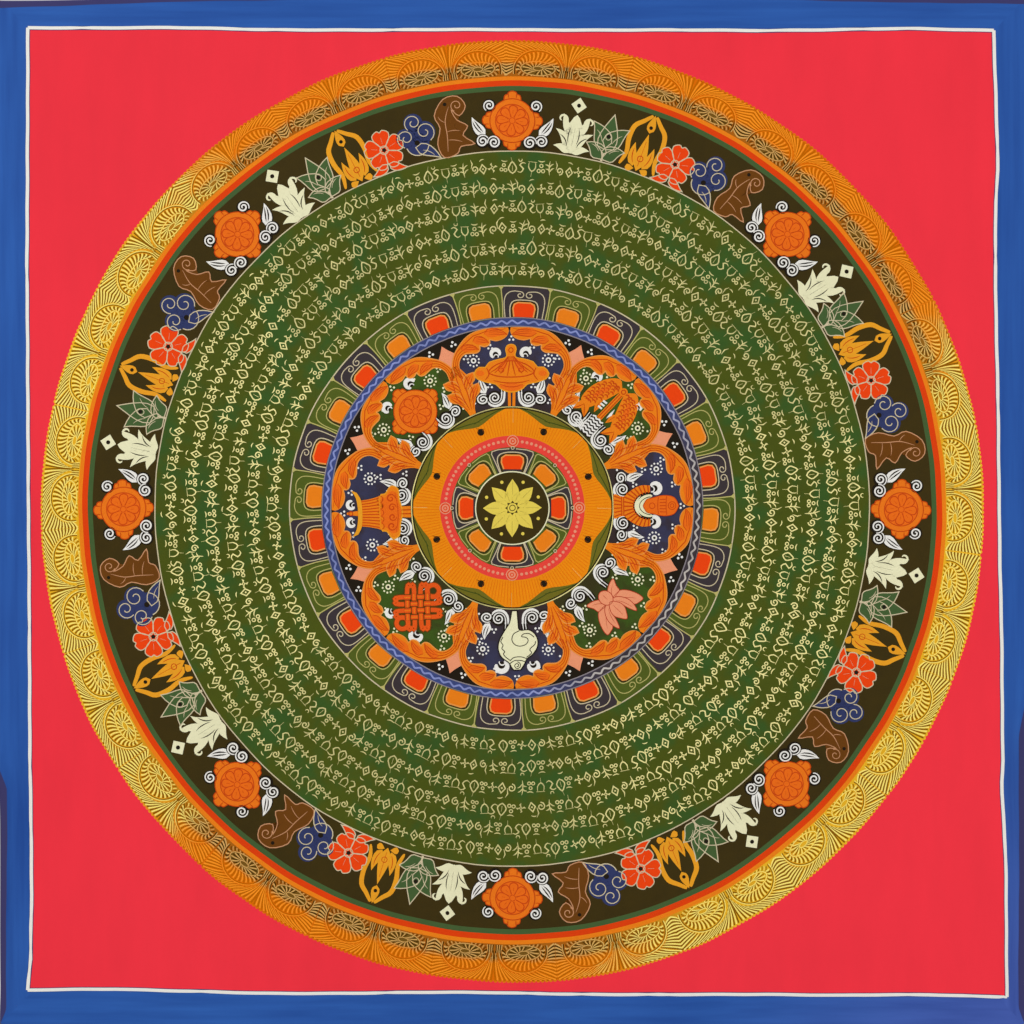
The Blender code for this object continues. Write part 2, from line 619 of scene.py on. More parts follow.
def midway(left, right, across, start=0.0, end=1.0, count=16):
    """A path that runs between two others, at a share of the way across."""
    return [tuple(a + (b - a) * across for a, b in zip(on_path(left, share), on_path(right, share)))
            for share in (start + (end - start) * i / count for i in range(count + 1))]


def swell(start, middle, end, power=0.8):
    """A line's width along its length: start and end are shares of the width in the middle."""
    def width(share):
        body = sin(pi * share) ** power if 0 < share < 1 else 0.0
        edge = start + (end - start) * share
        return edge + (middle - edge) * body

    return width


BRUSH = swell(0.45, 1.0, 0.35)
EVEN = swell(1.0, 1.0, 1.0)
LEAF = swell(0.12, 1.0, 0.06, 0.75)
TAIL = swell(1.1, 0.8, 0.12)
STROKE = swell(0.35, 0.9, 1.0)


def wobble(x, y):
    """The painter's hand: small slow drifts of every stroke, in millimetres."""
    dx = 0.16 * np.sin(x / 9.0 + 1.3 * np.sin(y / 23.0)) + 0.10 * np.sin(y / 5.3 + x / 17.0)
    dy = 0.16 * np.sin(y / 8.3 + 1.1 * np.sin(x / 21.0)) + 0.10 * np.sin(x / 6.1 - y / 15.0)
    return x + dx, y + dy


def lay(thing, height):
    """Lays flat work on the cloth: x and y in millimetres become a place on the painted face.

    height is the millimetres that each vertex stands above the bare cloth."""
    flat = corners(thing.data)
    across, up = wobble(flat[:, 0], flat[:, 1])
    x, z = across * MM, up * MM - CLOTH_HEIGHT / 2
    reshape(thing, np.stack([x, hang(x, z) - height * MM, z], 1))


def film(thing, level):
    """Gives flat faces the thickness of one coat, with its foot sunk into the coat below."""
    thicken(thing, 1.0)
    below = corners(thing.data)[:, 2] < -0.5
    top = LIFT * (level + 1)
    lay(thing, np.where(below, top - LIFT - SINK, top))


class Coat:
    """One coat of paint: brush lines and filled patches, drawn flat and then laid on the cloth."""

    def __init__(self, name, level, weight=1.0):
        self.name, self.level, self.weight = name, level, weight
        self.lines, self.patches, self.grids = [], [], []

    def line(self, points, width, at=None, shape=BRUSH, closed=False):
        """A brush line through these points, with its width in millimetres on the canvas."""
        self.lines.append((at(points) if at else points, width * self.weight, shape, closed))

    def even(self, points, width, at=None, closed=False):
        """A line of the same width from end to end."""
        self.line(points, width, at, EVEN, closed)

    def ring(self, cx, cy, radius, width, at=None, count=16, tall=1.0):
        """A small circle of the same width all round."""
        self.even(oval(cx, cy, radius, tall, count), width, at, True)

    def circle(self, radius, width, step=3):
        """A line right round the mandala, with a point every few degrees."""
        self.even([around(radius, degrees) for degrees in range(0, 360, step)], width, None, True)

    def patch(self, outline, at=None, rings=0):
        """A filled outline. Large ones get rings of faces, so that they follow the cloth."""
        self.patches.append((at(outline) if at else outline, rings))

    def ribbon(self, left, right, at=None, count=12, rows=2):
        """A filled strip between two paths, in rows of faces that follow the cloth."""
        self.grids.append([])
        for j in range(rows + 1):
            row = midway(left, right, j / rows, count=count)
            self.grids[-1].append(at(row) if at else row)

    def spot(self, cx, cy, radius, at=None, count=8):
        """A small filled disc."""
        self.patch(oval(cx, cy, radius, 1.0, count), at)

    def brush_lines(self):
        """Every line as a curve with a low ridged section, made one mesh."""
        tip = bpy.data.curves.new("brush_tip", "CURVE")
        tip.dimensions, tip.fill_mode = "2D", "NONE"
        section = tip.splines.new("POLY")
        section.points.add(2)
        for point, (x, y) in zip(section.points, ((-1, 0), (1, 0), (0, 1))):
            point.co = (x, y, 0, 1)
        section.use_cyclic_u = True
        brush = bpy.data.objects.new("brush_tip", tip)
        curve = bpy.data.curves.new(self.name, "CURVE")
        curve.dimensions, curve.fill_mode = "2D", "NONE"
        curve.bevel_mode, curve.bevel_object, curve.use_fill_caps = "OBJECT", brush, True
        for points, width, shape, closed in self.lines:
            spline = curve.splines.new("POLY")
            spline.points.add(len(points) - 1)
            spline.use_cyclic_u = closed
            last = max(len(points) - 1, 1)
            spline.points.foreach_set("co", [v for x, y in points for v in (x, y, 0, 1)])
            spline.points.foreach_set("radius", [max(HALF_FOOT * width * shape(i / last), THINNEST)
                                                 for i in range(len(points))])
        lines = bpy.data.objects.new(self.name, curve)
        for thing in (brush, lines):
            bpy.context.collection.objects.link(thing)
        select_only(lines)
        bpy.ops.object.convert(target="MESH")
        bpy.data.objects.remove(brush)
        edit(lines, (bpy.ops.mesh.remove_doubles, {"threshold": WELD}),
             (bpy.ops.mesh.normals_make_consistent, {"inside": False}))
        ridge = corners(lines.data)[:, 2] > 1e-6
        top = LIFT * (self.level + 1)
        lay(lines, np.where(ridge, top + RIDGE, top - LIFT - SINK))
        return lines

    def filled_patches(self):
        """Every patch as faces, given their thickness and made one mesh."""
        points, faces = [], []
        for outline, rings in self.patches:
            if signed_area(outline) < 0:
                outline = outline[::-1]
            first, count = len(points), len(outline)
            points += outline
            if not rings:
                faces.append(range(first, first + count))
                continue
            cx, cy = (sum(p[axis] for p in outline) / count for axis in (0, 1))
            for ring in range(1, rings + 1):
                share = 1 - ring / (rings + 1)
                points += [(cx + (x - cx) * share, cy + (y - cy) * share) for x, y in outline]
                outer, inner = first + (ring - 1) * count, first + ring * count
                faces += [(outer + i, outer + (i + 1) % count, inner + (i + 1) % count, inner + i)
                          for i in range(count)]
            points.append((cx, cy))
            faces += [(inner + i, inner + (i + 1) % count, len(points) - 1) for i in range(count)]
        for grid in self.grids:
            first, count = len(points), len(grid[0])
            if signed_area(grid[0] + grid[-1][::-1]) < 0:
                grid = grid[::-1]
            points += [point for row in grid for point in row]
            faces += [(i, i + 1, i + 1 + count, i + count)
                      for row in range(len(grid) - 1)
                      for i in range(first + row * count, first + (row + 1) * count - 1)]
        mesh = bpy.data.meshes.new(self.name)
        mesh.from_pydata([(x, y, 0.0) for x, y in points], [], faces)
        patches = bpy.data.objects.new(self.name, mesh)
        bpy.context.collection.objects.link(patches)
        edit(patches, (bpy.ops.mesh.remove_doubles, {"threshold": WELD}))
        film(patches, self.level)
        return patches

    def finish(self, material):
        """Makes the coat one object with its material."""
        parts = [make() for make, drawn in ((self.filled_patches, self.patches + self.grids),
                                            (self.brush_lines, self.lines)) if drawn]
        select_only(parts[0])
        for part in parts[1:]:
            part.select_set(True)
        if len(parts) > 1:
            bpy.ops.object.join()
        thing = parts[0]
        thing.name = thing.data.name = self.name
        settle(thing, material)


def signed_area(outline):
    """Twice the area of an outline, positive when it runs anticlockwise."""
    return sum(x0 * y1 - x1 * y0 for (x0, y0), (x1, y1) in zip(outline, outline[1:] + outline[:1]))


def paint_band(name, inner, outer, material, level=0, steps=360):
    """A ring of flat colour: a grid wrapped round the mandala, closed on itself."""
    rows = max(1, int((outer - inner) / 4.0))
    band = new_grid(name, steps, rows)
    reshape(band, [(*around(inner + (outer - inner) * (v + 0.5), 360 * (u + 0.5)), 0.0)
                   for u, v, _ in corners(band.data)])
    edit(band, (bpy.ops.mesh.remove_doubles, {"threshold": 0.001}),
         (bpy.ops.mesh.normals_make_consistent, {"inside": False}))
    face(band, 2, 1)
    film(band, level)
    settle(band, material)


# Metres from the middle between which a cell's field grows lighter
CELL_DUSK = (0.062, 0.088)


def cell_paint(name, colour):
    """Paint of a cell's field, which darkens towards the disc."""
    recipe = Recipe(name)
    tone, reach = recipe.noise(60.0, 3.0), mandala_place(recipe)[2]
    dusk = 1 - (reach + (tone - 0.5) * 0.016).between(*CELL_DUSK)
    murk = recipe.noise(100.0, 3.0).between(0.46, 0.66) * 0.5
    shadow = rgba(bpy.context.scene.canvas_colours.shadow)
    tint = recipe.mix((dusk * 0.8).math("MAXIMUM", murk), recipe.tones(tone, colour, 0.7, 1.4), shadow)
    return recipe.finish(tint, MATT, 0.0, tone, 0.00012)


def paint(name):
    """The material for a colour of the painter's palette, mixed once and shared."""
    ready = bpy.data.materials.get("paint_" + name)
    if ready:
        return ready
    colour = getattr(bpy.context.scene.canvas_colours, name)
    if name == "gold":
        return line_gold("paint_" + name, colour)
    if name in ("cell_slate", "cell_green"):
        return cell_paint("paint_" + name, colour)
    return mineral("paint_" + name, colour, 0.2 if name in ("night", "black") else 0.1)


class Coats:
    """The coats that a motif is drawn on: each has a level and a colour of the palette."""

    def __init__(self, prefix, **coats):
        self.all = {}
        for name, (level, colour) in coats.items():
            coat = Coat(f"{prefix}_{name}", level)
            self.all[coat] = colour
            setattr(self, name, coat)

    def finish(self):
        """Makes an object of every coat that has something on it."""
        for coat, colour in self.all.items():
            if coat.lines or coat.patches or coat.grids:
                coat.finish(paint(colour))


# ---------------------------------------------------------------- the cloth and its ground


# Metres from the middle lines at which the red ground gives way to the dark purple-grey strip along the cut
# edge
GROUND_ENDS = (0.2984, 0.2994)


def ground_material(colours):
    """Rose red ground with a faint crimson brush drift and painted light that makes it lighter towards the
    lower right, and a dark purple-grey strip along the cut edge.
    """
    recipe = Recipe("rose_ground")
    x, up = recipe.plan()
    cloud = recipe.noise(7.0, 3.0)
    brush = recipe.noise(70.0, 3.0, (1.0, 1.0, 0.25))
    grain = recipe.noise(1400.0, 2.0)
    # Painted light: the (x - up) term makes the red lighter towards the lower right
    share = ((cloud - 0.5) * 0.4 + (brush - 0.5) * 0.35 + (grain - 0.5) * 0.12
             + (x - up) * 0.16).held(0.62)
    red = recipe.tones(share, colours.ground, 0.72, 1.14)
    reach = x.math("ABSOLUTE").math("MAXIMUM", up.math("ABSOLUTE"))
    # A dark purple-grey strip along the cut edge, beyond where the blue paint stops
    edge_strip_share = (reach + (brush - 0.5) * 0.002).between(*GROUND_ENDS)
    tint = recipe.mix(edge_strip_share, red, rgba(colours.edge_strip))
    return recipe.finish(tint, (brush - 0.5) * 0.14 + 0.60, 0.0, grain * 0.4 + brush, 0.00012)


# Metres from one thread of the cotton to the next but one
THREAD_PITCH = 0.0009


def cotton_material(colours):
    """The back: primed cotton with its weave, size stains and a few creases of tone."""
    recipe = Recipe("primed_cotton")
    x, up = recipe.plan()
    turns = 2 * pi / THREAD_PITCH
    weave = (x * turns).math("SINE") * ((up - CLOTH_HEIGHT / 2) * turns).math("SINE")
    stain = recipe.noise(9.0, 4.0)
    slub = recipe.noise(420.0, 2.0, (1.0, 1.0, 0.06))
    share = ((stain - 0.5) * 0.9 + (slub - 0.5) * 0.5 + weave * 0.10).held(0.5)
    tint = recipe.tones(share, colours.cotton, 0.74, 1.16)
    return recipe.finish(tint, 0.86, 0.0, weave * 0.5 + slub, 0.00025, 0.2)


class CANVAS_OT_cloth(Operator):
    """Hang the primed cotton with its rose red ground"""

    bl_idname = "canvas.cloth"
    bl_label = "Cloth"

    def execute(self, context):
        colours = context.scene.canvas_colours
        cloth = new_grid("canvas_cloth", CLOTH_CELLS, CLOTH_CELLS)
        x, z = np.array([outlined(crowded(u + 0.5), 0.5 - v) for u, v, _ in corners(cloth.data)]).T
        reshape(cloth, np.stack([x, hang(x, z), z], 1))
        face(cloth, 1, -1)
        for material in (ground_material(colours), cotton_material(colours)):
            cloth.data.materials.append(material)
        thicken(cloth, CLOTH_THICKNESS, material_offset=1, material_offset_rim=1)
        settle(cloth)
        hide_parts(CLOTH_NODE)
        return {"FINISHED"}


# ---------------------------------------------------------------- the blue margin

# The white line's four sides, in millimetres right of and above the middle, as the brush wandered
LINE_TOP = ((-289.8, 289.8), (-205.0, 290.8), (-151.0, 289.5), (0.0, 289.7), (151.0, 289.2),
            (238.0, 289.9), (288.4, 288.6))
LINE_RIGHT = ((288.4, 288.6), (289.8, 253.0), (291.0, 204.0), (289.8, 187.0), (289.8, 151.0),
              (292.4, 0.0), (294.6, -151.0), (294.0, -164.0), (295.8, -203.0), (297.0, -291.0))
LINE_FOOT = ((297.0, -291.0), (251.0, -290.4), (197.0, -291.0), (151.0, -289.8),
             (-151.0, -288.6), (-187.0, -287.6), (-238.0, -286.5), (-291.0, -287.6))
LINE_LEFT = ((-291.0, -287.6), (-289.4, -268.0), (-288.8, -227.0), (-289.5, -151.0),
             (-290.2, 0.0), (-290.8, 151.0), (-290.4, 200.0), (-289.8, 289.8))

# Where the blue paint stops short of the cut edge, side by side with the white line above
PAINT_TOP = ((-309.0, 301.6), (-190.0, 306.6), (-60.0, 308.6), (120.0, 308.4), (221.0, 306.0),
             (309.0, 304.0))
PAINT_RIGHT = ((309.0, 304.0), (308.8, 60.0), (308.6, -112.0), (304.8, -134.0), (304.4, -298.0),
               (308.0, -308.4))
PAINT_FOOT = ((308.0, -308.4), (120.0, -309.2), (-120.0, -308.8), (-308.2, -308.2))
PAINT_LEFT = ((-308.2, -308.2), (-304.6, -300.0), (-304.2, -166.0), (-308.6, -154.0),
              (-308.8, 60.0), (-309.0, 301.6))

# Cells of the blue margin along and across it, and the steps in which each side of the white line
# is drawn
MARGIN_CELLS = 960, 10
LINE_STEPS = 90

# The blue near the lower right corner, and what thin and thick strokes do to the blue
VIOLET_BLUE = (0.082, 0.116, 0.462, 1.0)
THIN_STROKE = (0.62, 0.66, 0.74, 1.0)
THICK_STROKE = (1.5, 1.38, 1.22, 1.0)


def margin_material(colours):
    """Blue border paint: strokes run along each side and meet at a mitre in each corner."""
    recipe = Recipe("border_blue")
    x, up = recipe.plan()
    sides = (x.math("ABSOLUTE") - up.math("ABSOLUTE")).between(-0.0006, 0.0006)
    level = recipe.noise(190.0, 4.0, (0.05, 1.0, 1.0))
    upright = recipe.noise(190.0, 4.0, (1.0, 1.0, 0.05))
    strokes = level + (upright - level) * sides
    cloud = recipe.noise(9.0, 2.0)
    share = ((strokes - 0.5) * 1.1 + (cloud - 0.5) * 0.7).held(0.42)
    violet = (x - up).between(0.40, 0.62) * 0.55
    blue = recipe.mix(violet, rgba(colours.margin), VIOLET_BLUE)
    tint = recipe.mix(share, recipe.mix(1.0, blue, THIN_STROKE, "MULTIPLY"),
                      recipe.mix(1.0, blue, THICK_STROKE, "MULTIPLY"))
    return recipe.finish(tint, (strokes - 0.5) * 0.2 + 0.58, 0.0, strokes, 0.00015)


class CANVAS_OT_margin(Operator):
    """Paint the blue margin and the white line round the ground"""

    bl_idname = "canvas.margin"
    bl_label = "Margin and white line"

    def execute(self, context):
        colours = context.scene.canvas_colours
        sides = ((LINE_TOP, PAINT_TOP), (LINE_RIGHT, PAINT_RIGHT), (LINE_FOOT, PAINT_FOOT),
                 (LINE_LEFT, PAINT_LEFT))
        margin = new_grid("blue_margin", *MARGIN_CELLS)
        flat = []
        for u, v, _ in corners(margin.data):
            way = min((u + 0.5) * 4, 3.99999)
            line, paint = sides[int(way)]
            (x0, y0), (x1, y1) = on_path(line, way % 1), on_path(paint, way % 1)
            flat.append((x0 + (x1 - x0) * (v + 0.5), y0 + (y1 - y0) * (v + 0.5), 0.0))
        reshape(margin, flat)
        edit(margin, (bpy.ops.mesh.remove_doubles, {"threshold": 0.02}))
        face(margin, 2, 1)
        film(margin, 0)
        settle(margin, margin_material(colours))

        shadow, white = Coat("margin_shadow_line", 1), Coat("white_line", 2)
        draw = random.Random(3)
        for line, _ in sides:
            points = [on_path(line, i / LINE_STEPS) for i in range(LINE_STEPS + 1)]
            shadow.even(points, 2.5)
            nicks = [1.0 if draw.random() > 0.10 else draw.uniform(0.72, 0.9) for _ in points]
            white.line(points, 1.75, None, lambda share, nicks=nicks: nicks[int(share * LINE_STEPS)])
        shadow.finish(mineral("margin_shadow", colours.edge_strip, 0.2))
        white.finish(mineral("chalk_line", colours.chalk, 0.05))
        return {"FINISHED"}


# ---------------------------------------------------------------- the rings of flat colour

# The orange stripe at the rim's foot, in millimetres above and below that foot
STRIPE = 1.3
STRIPE_FOOT = 1.1

# The darkest tone of the blue ring, and what its blue and its wave turn to where a painted sheen greys them
DEEPEST_BLUE = (0.02, 0.018, 0.03, 1.0)
SHEEN_GREYED_BLUE = seen(68, 60, 64)
SHEEN_GREYED_WAVE = seen(206, 198, 190)


def ring_paint(name, colour, greyed):
    """Paint that changes to a greyed tone on one stretch of the ring, a painted sheen."""
    recipe = Recipe(name)
    tone = recipe.noise(60.0, 3.0)
    # Painted sheen: the colour greys on one stretch of the ring
    hue = recipe.mix(stretch_mask(recipe, SHEEN_STRETCH, 0.1), rgba(colour), rgba(greyed))
    tint = recipe.mix((tone - 0.5) * 0.9 + 0.25, hue, DEEPEST_BLUE)
    return recipe.finish(tint, 0.6, 0.0, tone, 0.00012)


class CANVAS_OT_rings(Operator):
    """Lay the rings of flat colour that carry the mandala"""

    bl_idname = "canvas.rings"
    bl_label = "Rings"

    def execute(self, context):
        colours = context.scene.canvas_colours
        foot, orange, dark, field = radii("rim_inner", "orange_inner", "dark_outer", "field_outer")
        petals, blue, cells, disc = radii("petal_outer", "blue_outer", "cells_outer", "disc_outer")
        paint_band("orange_stripe", foot - STRIPE_FOOT, foot + STRIPE,
                   mineral("amber_stripe", colours.orange))
        paint_band("vermilion_ring", orange, foot - STRIPE_FOOT, mineral("vermilion", colours.vermilion))
        paint_band("outer_green_ring", dark, orange, mineral("ring_green", colours.ring_green))
        paint_band("dark_band", field, dark, mineral("night_brown", colours.night, 0.22))
        green = mineral("field_green", colours.green, 0.14, colours.cool_green)
        paint_band("green_field", petals, field, green)
        paint_band("petal_ground", blue, petals, green)
        paint_band("blue_ring", cells, blue, ring_paint("ring_blue", colours.azure, SHEEN_GREYED_BLUE))
        paint_band("cell_ground", disc, cells, mineral("cell_black", colours.black, 0.2))
        edges = Coat("ring_edges", 1)
        edges.circle(field, 0.75, 2)
        edges.circle(petals, 0.8, 2)
        edges.finish(mineral("edge_cream", colours.pale_gold, 0.12))
        return {"FINISHED"}


# ---------------------------------------------------------------- the gold rim

RIM_UNITS = 23
RIM_FIRST = 7.0
RIM_SLACK = 3.2
RIM_TALL = 23.4
TIP_PITCH = 2.42
SHELL_X, SHELL_Y = 16.8, 5.0
SHELL_WIDE, SHELL_TALL = 13.6, 12.6
CORE_Y, CORE_WIDE, CORE_TALL = 6.6, 9.6, 4.2

# Dark strokes and painted highlight strokes where the rim has its painted reflection, where it is dull
# and where it is worn, and the paint that shows where the gold is rubbed off
DARK_STROKES = (0.250, 0.105, 0.002, 1.0), (0.52, 0.130, 0.0, 1.0), (0.070, 0.030, 0.001, 1.0)
HIGHLIGHT_STROKES = (1.0, 0.82, 0.19, 1.0), (0.97, 0.300, 0.018, 1.0), (0.70, 0.40, 0.12, 1.0)
UNDERPAINT = (0.150, 0.082, 0.010, 1.0)

# Metres from the middle between which the worn foot of the rim ends
WORN_FOOT = (0.2675, 0.2715)


def rim_angle(unit):
    """Degrees of a stem: evenly spaced, but the painter ran ahead by up to RIM_SLACK."""
    return RIM_FIRST + 360 / RIM_UNITS * unit + RIM_SLACK * sin(pi * unit / RIM_UNITS)


def ruled(coats, roots, ends, count, width, at, sag=0.0):
    """Dark strokes and painted highlight strokes by turns, each from a place on one path to its like on
    another.
    """
    for i in range(2 * count):
        share = (i + 0.5) / (2 * count)
        stroke = bow(on_path(roots, share), on_path(ends, share), sag, 4)
        coats[i % 2].line([(x, max(y, STRIPE)) for x, y in stroke], width, at, STROKE)


def shell(size, start, end):
    """An arc of the shell at a share of its full size."""
    return arc(SHELL_X, SHELL_Y, SHELL_WIDE * size, start, end, SHELL_TALL / SHELL_WIDE, 16)


def core(size, start, end):
    """An arc of the flat oval low in the shell, at a share of its full size."""
    return arc(SHELL_X, CORE_Y, CORE_WIDE * size, start, end, CORE_TALL / CORE_WIDE, 20)


def rim_half(strokes, cores, tips, at, half):
    """Half of one unit of the rim: strokes on gold make its fan, shell and fish-bone."""
    wall = half - 0.2
    over = [(0.3, 4.6), (1.4, 9.4), (4.0, 13.7), (8.0, 16.8), (12.0, 18.2), (17.0, 18.6), (24.4, 17.2)]
    beside = [(24.2, 17.2), (28.0, 14.2), (30.2, 11.4), (31.2, 8.4), (31.3, 4.6)]
    ruled(strokes, over, [(0.4, 22.5), (wall, 22.7)], 13, 0.86, at, 0.45)
    ruled(strokes, beside, [(wall, 22.8), (wall, 1.7)], 10, 0.9, at, -0.3)
    ruled(strokes, [(0.5, 6.6), (3.6, 6.4)], [(0.3, 1.8), (4.4, 1.8)], 3, 0.5, at, 0.1)
    ruled(strokes, core(1.12, -98, -166), [(4.4, 3.6), (6.6, 1.8), (13.6, 1.8)], 4, 0.5, at, 0.2)
    ruled(strokes, core(1.12, 100, 166), [(29.4, 3.6), (27.2, 1.8), (20.0, 1.8)], 4, 0.5, at, 0.2)
    for coat, size in zip(strokes, (1.0, 1.05)):
        coat.even(shell(size, -90, 100), 0.5, at)
    ruled(strokes, core(1.12, -88, 112), shell(0.94, -94, 92), 15, 0.86, at, 0.5)
    cores.patch(core(1.0, 0, 342), at)
    ruled(strokes, core(0.34, -170, 170), core(0.94, -196, 148), 14, 0.72, at, 0.2)
    for size in (0.3, 1.04):
        strokes[1].even(core(size, 0, 342), 0.5, at, True)
    count = int((half - 0.6) / TIP_PITCH)
    for tip in range(count + 1):
        tips.spot((tip + 0.5) * (half - 0.3) / (count + 1), RIM_TALL - 0.45, 1.12, at)


def rim_foot(reach, mottle):
    """1 near the rim's foot and 0 further out, with a ragged edge."""
    return 1 - (reach + (mottle - 0.5) * 0.006).between(*WORN_FOOT)


def rim_gold_material(colours, worn):
    """The gilded rim: a painted reflection makes it bright on two stretches, and elsewhere it is dull orange
    gold.

    worn is how far the gold there is rubbed down to the dark underpaint near the rim's foot."""
    recipe = Recipe("rim_gold" if worn < 0.7 else "rim_worn")
    shine, reach = stretch_mask(recipe, GLEAMS), mandala_place(recipe)[2]
    mottle = recipe.noise(70.0, 3.0)
    patch = recipe.noise(28.0, 2.0).between(0.52, 0.68) * 0.3
    # Painted reflection: the gold turns from dull to bright gold on the gleaming stretches, broken up in
    # patches
    share = (shine - patch * shine + (mottle - 0.5) * 0.5).held(0.02)
    gold = recipe.mix(share, rgba(colours.dull_gold), rgba(colours.bright_gold))
    rubbed = ((1 - shine * 0.9) * rim_foot(reach, mottle) * worn).held()
    tint = recipe.mix(rubbed, gold, UNDERPAINT)
    rough = 0.50 - shine * 0.12 + (mottle - 0.5) * 0.12
    return recipe.finish(tint, rough, shine * 0.20 + 0.03, recipe.noise(700.0, 2.0), 0.00015, 0.05)


def rim_stroke_material(name, gleaming, dull, worn):
    """Strokes of one colour where the rim gleams with its painted reflection, one where it is dull and one
    where it is worn.
    """
    recipe = Recipe(name)
    shine, reach = stretch_mask(recipe, GLEAMS), mandala_place(recipe)[2]
    mottle = recipe.noise(90.0)
    # Painted reflection: the strokes take their gleaming colour on the rim's gleaming stretches
    bright = (shine + (mottle - 0.5) * 0.4).between(0.08, 0.5)
    tint = recipe.mix(bright, recipe.mix(rim_foot(reach, mottle), dull, worn), gleaming)
    return recipe.finish(tint, 0.55, specular=0.02)


class CANVAS_OT_rim(Operator):
    """Draw the gold rim: scalloped gold with fans, shells and chevrons in dark strokes"""

    bl_idname = "canvas.rim"
    bl_label = "Gold rim"

    def execute(self, context):
        colours = context.scene.canvas_colours
        foot, top = radii("rim_inner", "rim_outer")
        gold = rim_gold_material(colours, 0.6)
        paint_band("rim_gold", foot + STRIPE, top - 0.9, gold, 0, 720)
        # The second coat holds painted highlights beside the dark strokes
        strokes = Coat("rim_hatch", 2), Coat("rim_lights", 2.1)
        cores, tips = Coat("rim_cores", 1), Coat("rim_tips", 0)
        draw = random.Random(11)
        for unit in range(RIM_UNITS):
            here = rim_angle(unit)
            for flip, there in ((1, rim_angle(unit + 1)), (-1, rim_angle(unit - 1))):
                half = abs(there - here) / 2 * foot * pi / 180
                at = bent(foot, here + draw.uniform(-0.08, 0.08), flip)
                rim_half(strokes, cores, tips, at, half)
        strokes[0].finish(rim_stroke_material("rim_hatch", *DARK_STROKES))
        strokes[1].finish(rim_stroke_material("rim_lights", *HIGHLIGHT_STROKES))
        cores.finish(rim_gold_material(colours, 0.96))
        tips.finish(gold)
        return {"FINISHED"}


# ---------------------------------------------------------------- clouds and wheels

WHEELS = 8
WHEEL_RADIUS = 13.3
BAND_MIDDLE = 233.2
CURL_PITCH = 1.8


def cloud_curl(coats, cx, cy, radius, at, start, way, tall=1.0):
    """A cloud: one white stroke that winds inwards over a dark disc, clockwise where way is 1."""
    coats.slits.patch(oval(cx, cy, radius - 0.1, tall, 18), at)
    path = spiral(cx, cy, radius - 0.6, 0.5, start, way * (radius - 1.1) / CURL_PITCH)
    coats.curls.line([(x, cy + (y - cy) * tall) for x, y in path], 1.42, at, swell(0.6, 1.0, 0.7))


def flame(coats, root, tip, sag, width, at):
    """A white tongue of cloud with two black slits along it."""
    coats.under.patch(leaf_shape(root, tip, width + 1.4, sag), at)
    coats.white.patch(leaf_shape(root, tip, width, sag), at)
    for part in (-0.9, 0.9):
        coats.slits.line(bow(root, tip, sag + part, 6)[1:-1], width * 0.2, at, LEAF)


def wheel(coats, at, size=1.0):
    """A wheel medallion: rim, eight petals, hub and four lobed knobs."""
    big = size * WHEEL_RADIUS
    knob = smooth(arched([(-5.2, 12.6), (-4.6, 15.2), (-2.9, 16.0), (-2.2, 17.2)], [(0, 17.9)]), 3)
    for turn in (0, 90, 180, 270):
        lobes = turned(knob, turn, size)
        coats.knobs.patch(lobes, at)
        coats.red.even(lobes, 0.5 * size, at)
        for x in (-2.4, 2.4):
            coats.red.line(turned([(x, 13.8), (x, 15.0), (x, 16.2)], turn, size), 0.4 * size, at)
    coats.body.patch(oval(0, 0, big, 1, 40), at, 2)
    coats.red.ring(0, 0, big, 0.45, at, 40)
    coats.ember.patch(oval(0, 0, big * 0.745, 1, 32), at, 1)
    coats.red.ring(0, 0, big * 0.745, 0.55 * size, at, 36)
    outline = smooth(arched([(0.7, 2.2), (2.3, 5.6), (2.2, 8.2)], [(0, 9.3)]), 3)
    for turn in range(0, 360, 45):
        coats.red.line(turned(outline, turn + 4, size), 0.75 * size, at)
        coats.red.line(turned([(0, 4.4), (0, 6.4)], turn + 4, size), 0.45 * size, at)
    coats.body.spot(0, 0, 1.7 * size, at, 10)
    coats.red.ring(0, 0, 1.8 * size, 0.4 * size, at, 12)


def wheel_coats(prefix, base):
    """The coats of a wheel, from its first level up."""
    return Coats(prefix, knobs=(base, "wheel"), body=(base + 1, "wheel"),
                 ember=(base + 2, "ember"), red=(base + 3, "vermilion_deep"),
                 under=(base, "black"), white=(base + 0.7, "chalk"),
                 slits=(base + 1.4, "black"), curls=(base + 2.1, "chalk"))


class CANVAS_OT_wheels(Operator):
    """Paint the eight wheels of the dark band with their white clouds"""

    bl_idname = "canvas.wheels"
    bl_label = "Wheels and clouds"

    def execute(self, context):
        coats = wheel_coats("wheel", 1)
        draw = random.Random(5)
        for k in range(WHEELS):
            at = stood(BAND_MIDDLE, 45 * k, 1.0, draw.uniform(-3, 3))
            wheel(coats, at)
            for half in halves(at):
                cloud_curl(coats, 14.0, 9.0, 4.2, half, 150, -1)
                flame(coats, (15.8, -9.4), (24.4, 1.8), -1.0, 6.2, half)
                cloud_curl(coats, 17.6, -12.8, 4.4, half, -60, 1)
                cloud_curl(coats, 10.6, -13.4, 4.6, half, 100, -1)
        coats.finish()
        return {"FINISHED"}


# ---------------------------------------------------------------- ornaments of the dark band


def leaf_shape(root, tip, width, sag=0.0, steps=6, fat=0.62):
    """The outline of a leaf with a round root and a pointed tip, broadest near the tip if fat."""
    spine = bow(root, tip, sag, steps)
    left, right = [], []
    for i, (x, y) in enumerate(spine):
        (x0, y0), (x1, y1) = spine[max(i - 1, 0)], spine[min(i + 1, steps)]
        length = sqrt((x1 - x0) ** 2 + (y1 - y0) ** 2)
        nx, ny = -(y1 - y0) / length, (x1 - x0) / length
        half = width / 2 * (sin(pi * (i / steps) ** fat) if 0 < i < steps else 0.0)
        left.append((x + nx * half, y + ny * half))
        right.append((x - nx * half, y - ny * half))
    return left + right[-2:0:-1]


